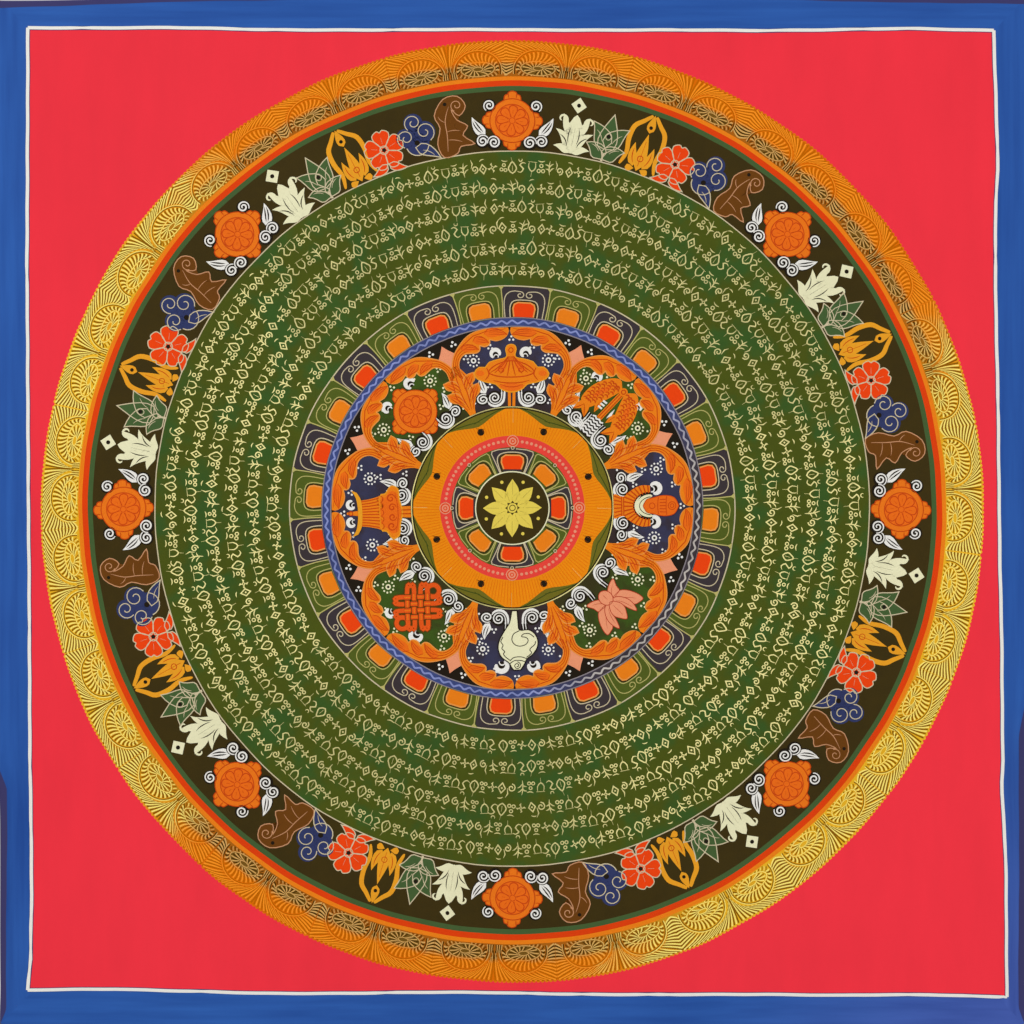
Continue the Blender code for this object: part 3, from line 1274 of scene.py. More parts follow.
def leaf(fill, edge, root, tip, width, at, sag=0.0, line=0.6):
    """A filled leaf with a pale outline."""
    outline = leaf_shape(root, tip, width, sag)
    fill.patch(outline, at)
    edge.even(outline, line, at, True)


def bud(coats, at):
    """Cream: a lotus bud on scroll leaves under a small lozenge."""
    fill, holes = coats.cream, coats.holes
    for half in halves(at):
        fill.patch(leaf_shape((0.8, -14.5), (10.2, -3.6), 5.6, 1.9), half)
        fill.patch(leaf_shape((0.6, -15.4), (9.8, -12.8), 4.4, 1.2), half)
        fill.line(spiral(7.4, 2.0, 3.2, 0.9, 200, 0.9), 1.7, half, TAIL)
        fill.patch(leaf_shape((1.0, -6.0), (7.2, 5.0), 4.4, -0.8), half)
        holes.line(bow((2.6, -12.2), (7.6, -6.2), 1.1), 0.8, half, LEAF)
        holes.line(bow((2.2, -10.6), (2.2, -1.8), -0.7), 0.7, half, LEAF)
    fill.patch(smooth(paired([(0, -15.6), (5.0, -9.0), (4.4, -2.4), (0, 5.4)]), 3, True), at, 1)
    fill.patch(paired([(0, 14.6), (4.2, 10.4), (0, 6.2)]), at)
    holes.spot(0, 10.4, 1.1, at)
    holes.line([(0, -11.6), (0, -1.8)], 0.9, at, LEAF)


def sprig(coats, at):
    """Green: a sprig of broad leaves with a beaded stem."""
    fill, edge = coats.sprig, coats.pale
    for half in halves(at):
        leaf(fill, edge, (0.4, -14.4), (10.4, -7.6), 8.4, half, 1.6)
        leaf(fill, edge, (0.4, -8.8), (9.8, 4.6), 9.4, half, 1.4)
    leaf(fill, edge, (0, -11.4), (0, 10.8), 10.2, at)
    edge.ring(0, -1.6, 1.5, 0.5, at, 12, 1.3)
    coats.holes.spot(0, -1.6, 1.1, at)
    for half in halves(at):
        edge.line(bow((2.8, -10.6), (7.6, -7.6), 0.7), 0.5, half)
        edge.line(bow((2.8, -5.0), (7.0, 0.6), 0.7), 0.5, half)
    edge.even([(0, -15.4), (0, -11)], 1.2, at)


def jewel(coats, at):
    """Yellow orange: a jewel of three drops in a pointed halo of flames."""
    fill = coats.amber
    halo = smooth([(1.0, 14.8), (4.6, 10.8), (8.4, 6.6), (9.2, -0.6), (8.0, -8.0), (9.6, -14.6)])
    for half in halves(at):
        fill.line(halo, 3.3, half, swell(0.5, 1.0, 0.3, 0.5))
        fill.patch(leaf_shape((2.6, -13.4), (5.2, -1.2), 4.8, -0.8), half)
        fill.patch(leaf_shape((6.2, -15.2), (1.6, -14.2), 3.6), half)
        coats.ember.line(bow((3.2, -11.6), (4.8, -4.4), -0.7), 0.6, half)
    fill.patch(leaf_shape((0, -15.2), (0, 5.0), 6.2), at)
    fill.patch(leaf_shape((0, 5.4), (0, 15.4), 4.6), at)
    coats.holes.spot(0, 8.4, 1.0, at)
    coats.ember.line([(0, -12.6), (0, 0.8)], 0.7, at)
    coats.ember.ring(0, -8.6, 1.5, 0.5, at, 10)


def blossom(coats, at):
    """Red orange: a five-petalled blossom over two leaves."""
    fill, edge = coats.red, coats.pale
    for half in halves(at):
        leaf(fill, edge, (0.6, -11.0), (9.4, -15.2), 4.4, half, -0.8)
    outline = smooth(paired([(0, 1.4), (3.6, 4.8), (4.5, 8.6), (1.6, 10.6), (0, 9.6)]), 3, True)
    for turn in range(0, 360, 72):
        shape = turned(outline, turn, 1.0, 0, -3.4)
        fill.patch(shape, at, 1)
        edge.even(shape, 0.6, at, True)
        edge.line(turned([(0, 3.6), (0, 7.0)], turn, 1.0, 0, -3.4), 0.5, at)
    fill.spot(0, -3.4, 2.4, at, 12)
    edge.ring(0, -3.4, 2.3, 0.5, at, 14)
    coats.holes.spot(0, -3.4, 1.1, at)


def scroll(coats, at):
    """Blue: a cloud of three curls with a trailing tail."""
    fill, edge = coats.blue, coats.pale
    for cx, cy, radius in ((-5.0, -2.0, 4.8), (4.4, -1.2, 5.2), (0.2, 4.4, 4.6), (-0.4, -6.2, 5.6)):
        fill.patch(oval(cx, cy, radius, 1, 18), at, 1)
    for cx, cy, radius, start, turns in ((-5.0, -2.0, 4.6, 200, 1.35), (4.4, -1.2, 5.0, 160, -1.35),
                                         (0.2, 4.4, 4.4, -130, 1.3)):
        edge.even(spiral(cx, cy, radius, 0.9, start, turns), 0.62, at)
    leaf(fill, edge, (-1.6, -7.6), (8.8, -15.0), 5.4, at, 0.9)
    edge.even(arc(-0.4, -6.2, 5.4, 110, 262), 0.6, at)
    edge.line(bow((1.4, -9.6), (6.2, -13.2), 0.6), 0.5, at)
    coats.holes.spot(-0.4, -5.6, 1.3, at)


def curled_leaf(coats, at):
    """Brown: an acanthus leaf whose tip curls over."""
    fill, edge = coats.brown, coats.tan
    body = smooth([(-6.4, -15.0), (-8.4, -8.2), (-5.6, -0.8), (-7.0, 5.6), (-1.4, 12.8),
                   (5.6, 13.0), (8.6, 7.6), (4.8, 3.4), (1.6, 6.8), (3.2, 1.6), (7.8, -2.4),
                   (4.6, -6.4), (9.4, -11.6), (2.6, -11.4), (0.2, -14.4)], 3, True)
    fill.patch(body, at, 1)
    edge.even(body, 0.6, at, True)
    edge.even(spiral(4.4, 8.6, 3.0, 0.6, -150, 1.25), 0.55, at)
    edge.line(smooth([(-4.2, -12.6), (-3.0, -5.0), (-2.4, 2.2), (0.6, 8.8)]), 0.6, at)
    for root, tip in (((-2.8, -3.2), (3.8, -4.0)), ((-3.2, -7.2), (3.6, -9.4)),
                      ((-2.6, 1.4), (-5.4, 4.8))):
        edge.line(bow(root, tip, 0.5), 0.5, at)
    coats.holes.spot(-1.0, 10.2, 0.9, at)


# Each ornament with its degrees after a wheel, its rise above the band's middle and its size
ORNAMENTS = ((9.3, 0.6, 1.16, bud), (14.6, -0.8, 1.12, sprig), (20.0, 0.4, 1.13, jewel),
             (25.4, -0.8, 1.13, blossom), (30.6, 0.6, 1.24, scroll), (35.8, 0.6, 1.20, curled_leaf))


class CANVAS_OT_ornaments(Operator):
    """Paint the six ornaments that repeat between the wheels"""

    bl_idname = "canvas.ornaments"
    bl_label = "Band ornaments"

    def execute(self, context):
        coats = Coats("band", cream=(1, "cream"), sprig=(1, "ring_green"), amber=(1, "amber"),
                      red=(1, "scarlet"), blue=(1, "azure_deep"), brown=(1, "brown"),
                      pale=(2, "pale_gold"), tan=(2, "tan"), ember=(2, "vermilion_deep"),
                      holes=(2, "black"))
        draw = random.Random(21)
        for k in range(WHEELS):
            for degrees, rise, size, motif in ORNAMENTS:
                size *= draw.uniform(0.97, 1.03)
                motif(coats, stood(BAND_MIDDLE + rise, 45 * k + degrees + draw.uniform(-0.15, 0.15),
                                   size, draw.uniform(-4, 4)))
        coats.finish()
        return {"FINISHED"}


# ---------------------------------------------------------------- gold rows of the green field


def gold_scroll(gold, at):
    """A curl with a stalk on it."""
    gold.even(spiral(0, 2.7, 2.0, 0.4, 180, 1.3, 12), 0.62, at)
    gold.line([(1.9, 3.0), (1.4, 5.6), (2.4, 7.6)], 0.6, at)


def gold_bud(gold, at):
    """A bud with a vein and a tip."""
    outline = smooth(paired([(0, 0.4), (2.1, 2.6), (1.4, 4.6), (0, 6.4)]), 2, True)
    gold.even(outline, 0.66, at, True)
    gold.line([(0, 1.6), (0, 4.4)], 0.6, at)
    gold.line([(0, 6.4), (0.5, 8.8)], 0.5, at)


def gold_beads(gold, at):
    """Three rings under a small arc."""
    for x, y in ((-1.0, 1.6), (1.1, 1.5), (0.0, 4.0)):
        gold.ring(x, y, 0.82, 0.5, at, 7)
    gold.line(bow((-1.6, 6.4), (1.7, 6.4), -0.5, 3), 0.6, at)


def gold_sprig(gold, at):
    """A stem with two pairs of twigs."""
    gold.line(bow((-0.3, -0.6), (0.4, 6.6), 0.4, 4), 0.62, at)
    for y in (1.2, 3.4):
        gold.line(bow((0, y), (2.3, y + 1.7), 0.4, 3), 0.62, at)
        gold.line(bow((0, y), (-2.3, y + 1.5), -0.4, 3), 0.62, at)


def gold_wave(gold, at):
    """A winding stroke under a small curl."""
    gold.line(smooth([(-2.2, 5.2), (-0.7, 5.8), (0.9, 4.6), (-0.8, 2.6), (0.8, 0.8), (2.4, 1.6)], 2),
              0.68, at)
    gold.line(arc(0.4, 7.4, 0.9, 60, 300, 1.0, 6), 0.5, at)


def gold_flower(gold, at):
    """Four petals round a ring."""
    for turn in range(0, 360, 90):
        gold.line(turned([(0, 0.7), (0.5, 1.6), (0, 2.4)], turn, 1.0, 0, 3.0), 0.8, at)
    gold.ring(0, 3.0, 0.6, 0.4, at, 7)


def gold_fork(gold, at):
    """A bar over a cup on a stem."""
    gold.line([(-2.2, 5.6), (2.2, 5.8)], 0.7, at)
    gold.line(smooth([(-1.4, 5.4), (-1.7, 3.0), (0, 1.2), (1.7, 3.2), (1.5, 5.6)], 2), 0.64, at)
    gold.line([(0, 1.2), (0.2, -1.4)], 0.56, at)


def gold_lozenge(gold, at):
    """A lozenge with a dot in it."""
    gold.even(paired([(0, 0.6), (1.7, 3.0), (0, 5.4)]), 0.62, at, True)
    gold.spot(0, 3.0, 0.5, at, 6)
    gold.line(bow((-1.2, 7.2), (1.4, 7.8), 0.4, 3), 0.56, at)


# The rows' radii in millimetres, and the order in which their ornaments follow each other
ROW_RADII = (204.4, 191.8, 179.7, 167.4, 155.1, 142.2)
ROW_ORDER = (gold_bud, gold_wave, gold_fork, gold_beads, gold_sprig, gold_scroll, gold_lozenge,
             gold_flower, gold_beads)
ROW_PITCH = 5.7


class CANVAS_OT_rows(Operator):
    """Draw the six gold rows of small ornaments on the green field"""

    bl_idname = "canvas.rows"
    bl_label = "Gold rows"

    def execute(self, context):
        draw = random.Random(31)
        for index, radius in enumerate(ROW_RADII):
            gold = Coat(f"gold_row_{index + 1}", 1, 1.28)
            count = int(2 * pi * radius / ROW_PITCH)
            for i in range(count):
                motif = ROW_ORDER[(i + 4 * index) % len(ROW_ORDER)]
                motif(gold, stood(radius + draw.uniform(-0.5, 0.5) - 3.2, 360 * i / count,
                                  draw.uniform(1.12, 1.30), draw.uniform(-8, 8),
                                  draw.choice((-1, 1))))
            gold.finish(paint("gold"))
        return {"FINISHED"}


# ---------------------------------------------------------------- petals

PETALS = 28
PETAL_FIRST = 3.45


def petal(coats, at, half, tall, cool, tongue_half, tongue_tall, curls=True, root=0.3):
    """A broad petal: its ground, an outline that curls in at the top, and a bright tongue."""
    ground = coats.slate if cool else coats.green
    edge = coats.white if cool else coats.gold
    h, t = half, tall
    ground.patch(arched([(-h, 0), (-h, 0.7 * t), (-0.98 * h, 0.92 * t), (-0.88 * h, t),
                         (-0.3 * h, t)]), at, 1)
    for side in (-1, 1):
        path = smooth([(side * x * h, y * t) for x, y in
                       ((0.86, 0.0), (0.87, 0.45), (0.80, 0.70), (0.62, 0.83), (0.42, 0.865))], 3)
        if curls:
            path += spiral(side * 2.5, 0.73 * t, 2.25, 0.75, side * 10, -side * 1.1, 12)
        else:
            path = [(side * x * h, y * t) for x, y in
                    ((0.86, 0.0), (0.90, 0.45), (0.94, 0.86), (0.88, 0.96), (0.60, 0.97), (0.14, 0.95))]
        edge.even(path, 0.5, at)
    a, b = tongue_half, tongue_tall
    for grow, coat, width in ((1.7, edge, 0.55), (0.7, coats.black, 1.1)):
        halo = arched([(-a - grow, 0), (-a - grow, 0.70 * b),
                       (-0.72 * a - grow * 0.8, b + grow * 0.6)], [(0, b + grow)])
        coat.even(smooth(halo, 3), width, at)
    tongue = arched([(-a * 0.92, root), (-a, 0.60 * b), (-0.88 * a, 0.88 * b), (-0.55 * a, b)])
    (coats.red if cool else coats.orange).patch(tongue, at, 1)
    coats.glow.even(tongue, 0.85, at)


def petal_coats(prefix, base):
    """The coats of a ring of petals, from its first level up."""
    return Coats(prefix, slate=(base, "slate"), green=(base, "leaf_green"),
                 black=(base + 1, "night"), white=(base + 2, "pale_gold"), gold=(base + 2, "vine"),
                 red=(base + 3, "scarlet"), orange=(base + 3, "orange"),
                 glow=(base + 4, "apricot"))


class CANVAS_OT_petals(Operator):
    """Paint the ring of twenty-eight petals and the blue ring with its wave"""

    bl_idname = "canvas.petals"
    bl_label = "Petal ring and wave"

    def execute(self, context):
        foot, top, cells = radii("blue_outer", "petal_outer", "cells_outer")
        coats = petal_coats("petal", 1)
        pitch = 360 / PETALS
        half = foot * radians(pitch) / 2
        draw = random.Random(41)
        for k in range(PETALS):
            at = bent(foot, PETAL_FIRST + pitch * k + draw.uniform(-0.2, 0.2))
            petal(coats, at, half, top - foot - 0.5, k % 2 == 0, 6.2, 8.9)
            between = bent(foot, PETAL_FIRST + pitch * (k + 0.5) + draw.uniform(-0.1, 0.1))
            coats.gold.even(smooth([(0.2, 0), (0.5, 8.0), (0.1, 16.8)]), 0.6, between)
            coats.gold.patch([(-1.7, top - foot), (-0.4, 17.4), (0.1, 15.8), (0.6, 17.4),
                              (1.7, top - foot)], between)
        coats.finish()

        wave, edges = Coat("wave", 2), Coat("wave_edges", 2)
        middle, waves = (foot + cells) / 2, 109
        points = [around(middle + (0.85, 0.1, -0.85, -0.1)[i % 4] + draw.uniform(-0.18, 0.18),
                         360 * i / (4 * waves)) for i in range(4 * waves)]
        wave.even(smooth(points, 2, True), 0.95, None, True)
        sky = context.scene.canvas_colours.sky
        wave.finish(ring_paint("wave_blue", sky, SHEEN_GREYED_WAVE))
        for radius in (foot - 0.2, cells + 0.2):
            edges.circle(radius, 0.6)
        edges.finish(paint("pale_blue"))
        return {"FINISHED"}


# ---------------------------------------------------------------- the eight cells

CELLS = 8
EMBLEM_RADIUS = 82.0

# The painter set the emblems, the tips of the arches over them and the stems between them by eye:
# degrees clockwise from the top
EMBLEM_ANGLES = (-0.4, 43.9, 89.1, 133.9, 178.4, 223.7, 267.9, 314.8)
TIP_ANGLES = (-0.9, 43.7, 89.5, 134.1, 179.3, 224.6, 268.8, 315.0)
STEM_ANGLES = (23.8, 65.9, 111.5, 158.4, 201.6, 247.3, 294.3, 337.3)

# A branch from its root to the tip of the arch, as (degrees from the root, radius in millimetres):
# its upper edge, and its lower edge with three lobes
BRANCH_TOP = ((-0.2, 86.0), (0.0, 90.5), (0.9, 94.0), (2.8, 98.4), (4.8, 101.4), (7.2, 104.6),
              (9.6, 106.9), (12.6, 108.2), (17.0, 108.5), (22.8, 108.2))
BRANCH_FOOT = ((3.4, 82.0), (2.8, 88.0), (3.1, 91.6), (4.6, 95.0), (6.6, 96.4), (8.6, 96.0),
               (10.6, 95.4), (12.0, 96.2), (12.5, 97.8), (12.6, 99.2), (14.2, 98.2), (15.7, 98.8),
               (16.3, 100.2), (16.5, 101.8), (18.4, 100.8), (20.6, 101.4), (22.3, 103.4), (23.0, 106.4))


def polar(points, degrees):
    """Places from (degrees off an axis, radius) pairs, round the mandala."""
    return [around(radius, degrees + off) for off, radius in points]


def triple(coat, x, y, at, spread=1.3, radius=0.68):
    """Three dots in a triangle."""
    for place in oval(x, y, spread, 1.0, 3):
        coat.spot(*place, radius, at, 7)


def dot_flower(dots, slits, x, y, at):
    """A ring of dots round a ringed dot."""
    for place in oval(x, y, 3.4, 1.0, 10):
        dots.spot(*place, 0.62, at, 7)
    dots.spot(x, y, 1.7, at, 12)
    slits.spot(x, y, 0.8, at, 8)


def veined_leaf(coats, root, tip, width, sag, at=None):
    """A blunt leaf of the foliage: its body, a deeper heart, a pale edge and dark veins."""
    outline = leaf_shape(root, tip, width, sag, 8, 1.7)
    coats.foliage.patch(outline, at)
    coats.heart.line(bow(root, tip, sag, 6)[2:], width * 0.42, at, LEAF)
    coats.glow.line(outline[2:], 0.5, at)
    for part in (-0.26, 0.0, 0.26):
        coats.veins.line(bow(root, tip, sag + part * width, 6)[1:6], 0.6, at, LEAF)


def foliage(coats, stem, tips):
    """One stem from the disc: side leaves, a neck, and two branches that arch over the cells."""
    at = bent(60.5, stem)
    edge = smooth([(1.9, 0.2), (2.6, 4.0), (4.6, 8.2), (6.0, 12.0), (5.8, 16.0), (4.9, 19.0),
                   (4.6, 22.0), (3.4, 25.0), (1.2, 31.0)], 2)
    facing = sided(edge)
    coats.foliage.ribbon(edge, facing, at, 12, 3)
    for side in (-1, 1):
        for root, tip, width, sag in (((1.2, 5.4), (7.9, 17.0), 5.6, 0.5),
                                      ((1.1, 13.6), (7.0, 24.0), 5.4, 0.9)):
            veined_leaf(coats, (root[0] * side, root[1]), (tip[0] * side, tip[1]), width,
                        sag * side, at)
    for across in (0.14, 0.38, 0.62, 0.86):
        coats.veins.line(midway(edge, facing, across, 0.1, 0.96), 0.55, at)
    for side, tip in zip((-1, 1), tips):
        crown = stem - 0.9
        span = side * abs(tip - crown) / 23.2
        top = polar(smooth([(span * off, radius) for off, radius in BRANCH_TOP], 3), crown)
        foot = polar(smooth([(span * off, radius) for off, radius in BRANCH_FOOT], 3), crown)
        coats.foliage.ribbon(top, foot, None, 40, 4)
        coats.veins.line(midway(top, foot, 0.2, 0.0, 0.97, 24), 0.5, None)
        coats.veins.line(midway(top, foot, 0.5, 0.0, 0.5, 12), 0.5, None, TAIL)
        coats.veins.line(midway(top, foot, 0.78, 0.0, 0.4, 12), 0.5, None, TAIL)
        coats.glow.line(top, 0.5)
        coats.glow.line(foot, 0.6)
        for root, end, width in (((5.6, 99.6), (12.0, 97.0), 4.4), ((10.4, 102.6), (16.0, 99.9), 4.8),
                                 ((14.6, 105.6), (22.6, 104.0), 5.4)):
            shape = leaf_shape(*polar(((span * root[0], root[1]), (span * end[0], end[1])), crown),
                               width, side * 1.1)
            coats.heart.patch(shape)
            coats.veins.line(shape[:7], 0.6, None)
            for part in (0.2, 1.6, 3.0):
                coats.veins.line(bow(shape[0], shape[6], side * part)[1:], 0.6, None, LEAF)


def fork_wedge(coats, stem):
    """The salmon lozenge over a fork, with three dots on the black at either side."""
    lozenge = ((-0.9, 105.9), (0.4, 102.4), (2.2, 98.9), (1.5, 96.0), (0.2, 92.6), (-0.9, 89.5),
               (-2.0, 92.6), (-3.3, 96.0), (-4.0, 98.9), (-2.2, 102.4))
    coats.salmon.patch(polar(lozenge, stem), None, 1)
    for off in (-5.3, 2.8):
        for x, y in ((0, 1.2), (-1.2, -0.8), (1.2, -0.8)):
            coats.dots.spot(*around(104.6 + y, stem + off + x * 0.56), 0.78, None, 7)


def cell_ground(coats, tip, before, after, cool):
    """The coloured field of a cell, a pointed arch between two stems."""
    rise = ((0.3, 61.0), (0.5, 80.0), (-0.2, 90.0), (2.2, 97.0), (5.0, 100.5), (9.0, 104.5), (15.0, 106.5))
    left = [(before - 0.9 + off, radius) for off, radius in rise]
    right = [(after - 0.9 - off + (1.8 if radius < 95 else 0), radius) for off, radius in rise]
    foot = [(right[0][0] + (left[0][0] - right[0][0]) * i / 10, 60.8) for i in range(1, 10)]
    (coats.slate if cool else coats.green).patch(
        polar(left + [(tip, 107.0)] + right[::-1] + foot, 0), None, 7)


def tailed_cloud(coats, cx, cy, radius, rise, at):
    """A large curl whose lines run up into a tail beside the emblem."""
    coats.slits.spot(cx, cy, radius + 0.4, at, 18)
    for grow, turns, inner in ((0.0, 2.0, 0.5), (1.65, 0.42, radius + 0.8)):
        reach = radius + grow
        tail = [(cx - reach + 0.3, cy + rise), (cx - reach - 0.2, cy + rise * 0.45)]
        coats.slits.even(tail, 2.0, at)
        curl = spiral(cx, cy, reach, inner, -90, -turns)
        coats.curls.line(smooth(tail, 3) + curl, 1.32, at, swell(0.5, 1.0, 0.6))


def cell_clouds(coats, at, cool, flowers, small):
    """The clouds, dot flowers and triple dots that stand round an emblem."""
    dots = coats.dots if cool else coats.pips
    for x, y in flowers:
        dot_flower(dots, coats.slits, x, y, at)
    for half in halves(at):
        flame(coats, (15.2, -13.4), (18.8, -3.4), -0.9, 5.2, half)
        cloud_curl(coats, 16.9, -17.0, 4.4, half, -30, 1, 0.84)
        tailed_cloud(coats, 9.9, -16.0, 3.9, 7.4, half)
        for x, y in ((27.4, 8.0), (21.6, -3.4), (12.8, -9.0), (22.8, -18.6), (12.4, 14.6)):
            triple(dots, x, y, half)
    triple(dots, 0.2, 19.6, at)
    for x, y, radius in small:
        side = 1 if x > 0 else -1
        coats.slits.spot(x, y - 0.1 * radius, radius * 0.5, at, 14)
        coats.curls.line(arc(x, y, radius * 0.74, -150, 110, 1.0, 16), radius * 0.68, at,
                         swell(0.3, 1.0, 0.3, 0.5))
        coats.curls.line(arc(x - side * 0.1 * radius, y - 0.5 * radius, radius * 0.4, -100, 110, 1.0, 8),
                         radius * 0.3, at)


def parasol(c, at):
    """A domed parasol with a frill, two tassels and a handle."""
    half = [(0, 16.2), (2.3, 15.4), (3.1, 13.0), (2.4, 10.2), (3.2, 8.2), (7.0, 7.4), (13.0, 5.6),
            (15.6, 2.4), (19.4, 2.4), (22.4, -1.2), (20.4, -4.6), (14.0, -6.8), (9.4, -7.8),
            (6.8, -10.4), (3.4, -12.2), (0, -12.8)]
    canopy = smooth(paired(half), 2, True)
    for x in (-1.4, 1.4):
        c.body.even([(x, -12), (x * 0.9, -21.2)], 1.5, at)
    c.body.patch(canopy, at, 5)
    c.glow.even(canopy, 0.6, at, True)
    fold = paired([(0, -7.4), (7.6, -8.6), (4.0, -11.2), (0, -12.0)])
    c.heart.patch(smooth(fold, 2, True), at, 1)
    for half in halves(at):
        c.heart.patch(oval(18.6, -1.2, 2.4, 0.7, 14), half)
        c.heart.patch(leaf_shape((3.4, 5.6), (9.4, 0.2), 4.4, -0.8), half)
        c.red.line(spiral(5.6, 1.0, 2.3, 0.5, 0, 1.2), 0.55, half)
        c.red.line(smooth([(14.8, 2.2), (13.4, -1.8), (15.6, -5.2)]), 0.6, half)
        for x in (2.4, 6.4, 9.8, 12.4):
            rib = bow((x * 0.14, 9.0), (x, -0.6 - 0.02 * (13 - x) ** 2), -0.07 * x)
            c.red.line(rib, 0.6, half)
    seam = paired([(0, 6.4), (8.6, 4.2), (13.6, -0.4), (8.0, -3.0), (0, -3.6)])
    c.red.even(smooth(seam, 3, True), 0.6, at, True)
    for y, reach in ((-5.6, 10.6), (-8.0, 6.6)):
        c.red.line(bow((-reach, y), (reach, y), -1.7), 0.65, at)
    c.red.ring(0, 12.8, 1.3, 0.45, at, 10, 1.1)


def fish(c, at):
    """Two fish, nose up, either side of a staff in the water."""
    for side in (-1, 1):
        spine = smooth(sided([(3.6, 16.4), (7.0, 12.2), (9.8, 5.8), (11.6, -1.2), (12.4, -7.6)],
                             side), 4)
        c.body.line(spine, 10.4, at, swell(0.42, 1.0, 0.34, 0.55))
        for x, y in ((15.2, -14.0), (6.8, -13.4)):
            c.body.patch(leaf_shape((side * 12.2, -5.6), (side * x, y), 4.6), at)
            c.red.line(bow((side * 12.2, -7.2), (side * x, y), 0.2), 0.5, at, LEAF)
        c.body.patch(leaf_shape((side * 6.6, 1.0), (side * 4.6, -7.0), 3.6), at)
        c.red.line([(side * 6.2, -0.4), (side * 5.0, -5.4)], 0.5, at)
        c.heart.line(spine[4:13], 3.4, at, LEAF)
        for row in range(11):
            x, y = on_path(spine, 0.16 + 0.072 * row)
            reach = 3.5 * sin(pi * (0.24 + 0.062 * row))
            for step in (-1, 0, 1):
                c.red.line(arc(x + step * reach + (0.7 if row % 2 else -0.5), y, 1.25, -80, 80, 1.0, 4),
                           0.75, at)
        c.red.ring(side * 5.2, 13.6, 0.7, 0.5, at, 8)
    c.body.even([(0, -7.6), (0, 13)], 3.0, at)
    c.body.spot(0, 14.0, 2.5, at, 14)
    c.red.ring(0, 14.0, 1.3, 0.5, at, 10)
    for x in (-0.8, 0.8):
        c.red.even([(x, -7.0), (x, 11.6)], 0.5, at)
    for y in (-2.4, -0.2, 2.0):
        c.foam.even([(-5.4, y), (-2.6, y + 0.2)], 1.1, at)
    c.foam.line([(3.2, 2.6), (3.6, -1.2), (3.2, -4.6)], 1.5, at, LEAF)
    c.under.patch([(-4.4, -8.0), (4.4, -8.0), (3.6, -20.4), (-3.2, -20.4)], at)
    for row in range(6):
        y = -8.8 - 2.1 * row
        c.foam.even([(x, y + (0.9 if i % 2 else 0.0)) for i, x in
                     enumerate((-3.8, -2.3, -0.8, 0.8, 2.3, 3.8))], 0.85, at)
        if row < 4:
            c.foam.line(bow((-10.0 + 0.6 * row, -15.4 - 1.4 * row), (-2.6, -17.2 - 0.9 * row), 0.7), 0.8, at)


def vase(c, at):
    """A ribbed vase with a pale crescent and a jewel in its mouth."""
    belly = [(-12.0, 0.6), (-12.2, -5.4), (-9.2, -11.2), (-5.8, -15.2), (-6.2, -18.0), (-7.6, -21.0)]
    side = smooth(belly + [(-6.8, -21.4)], 3)
    c.body.ribbon(side, sided(side), at, 14, 6)
    for i in range(17):
        share = (i + 0.5) / 17
        outer = on_path(smooth(belly[:4] + sided(belly[3::-1]), 3), share)
        inner = arc(0, 1.0, 7.6, 262, 98, 1.3, 16)[min(int(share * 16 + 0.5), 16)]
        c.red.even([inner, outer], 0.7, at)
    for x in range(-5, 6, 2):
        c.red.even([(x * 0.9, -16.8), (x * 1.2, -21.0)], 0.6, at)
    for y, reach in ((-15.4, 5.6), (-16.6, 5.8)):
        c.red.even([(-reach, y), (reach, y)], 0.5, at)
    c.black.line(arc(0, 0.8, 7.0, 276, 84, 1.22, 20), 3.6, at, swell(0.25, 1.0, 0.25, 0.5))
    crescent = arc(0, 1.6, 5.9, 272, 88, 1.34, 20)
    c.cream.line(crescent, 4.6, at, swell(0.12, 1.0, 0.12, 0.6))
    c.ink.even(arc(0, 1.8, 5.4, 262, 98, 1.42, 16), 0.5, at)
    jewel_side = smooth([(0, 17.8), (-4.8, 15.0), (-6.0, 8.6), (-4.6, 1.8), (-3.6, -1.6), (0, -3.6)], 3)
    c.over.ribbon(jewel_side, sided(jewel_side), at, 14, 4)
    for x, y, radius in ((0, 13.8, 2.3), (0, 13.8, 1.1), (0, 1.8, 1.7)):
        c.fine.ring(x, y, radius, 0.5, at, 12)
    for x in (-3.6, -1.8, 0, 1.8, 3.6):
        c.fine.even([(x, 6.4), (x * 1.05, 10.0)], 0.6, at)
    for y, reach in ((5.6, 5.0), (10.6, 5.4)):
        c.fine.even(bow((-reach, y), (reach, y), -0.4), 0.55, at)
    c.fine.even(jewel_side, 0.45, at)
    c.fine.even(sided(jewel_side), 0.45, at)


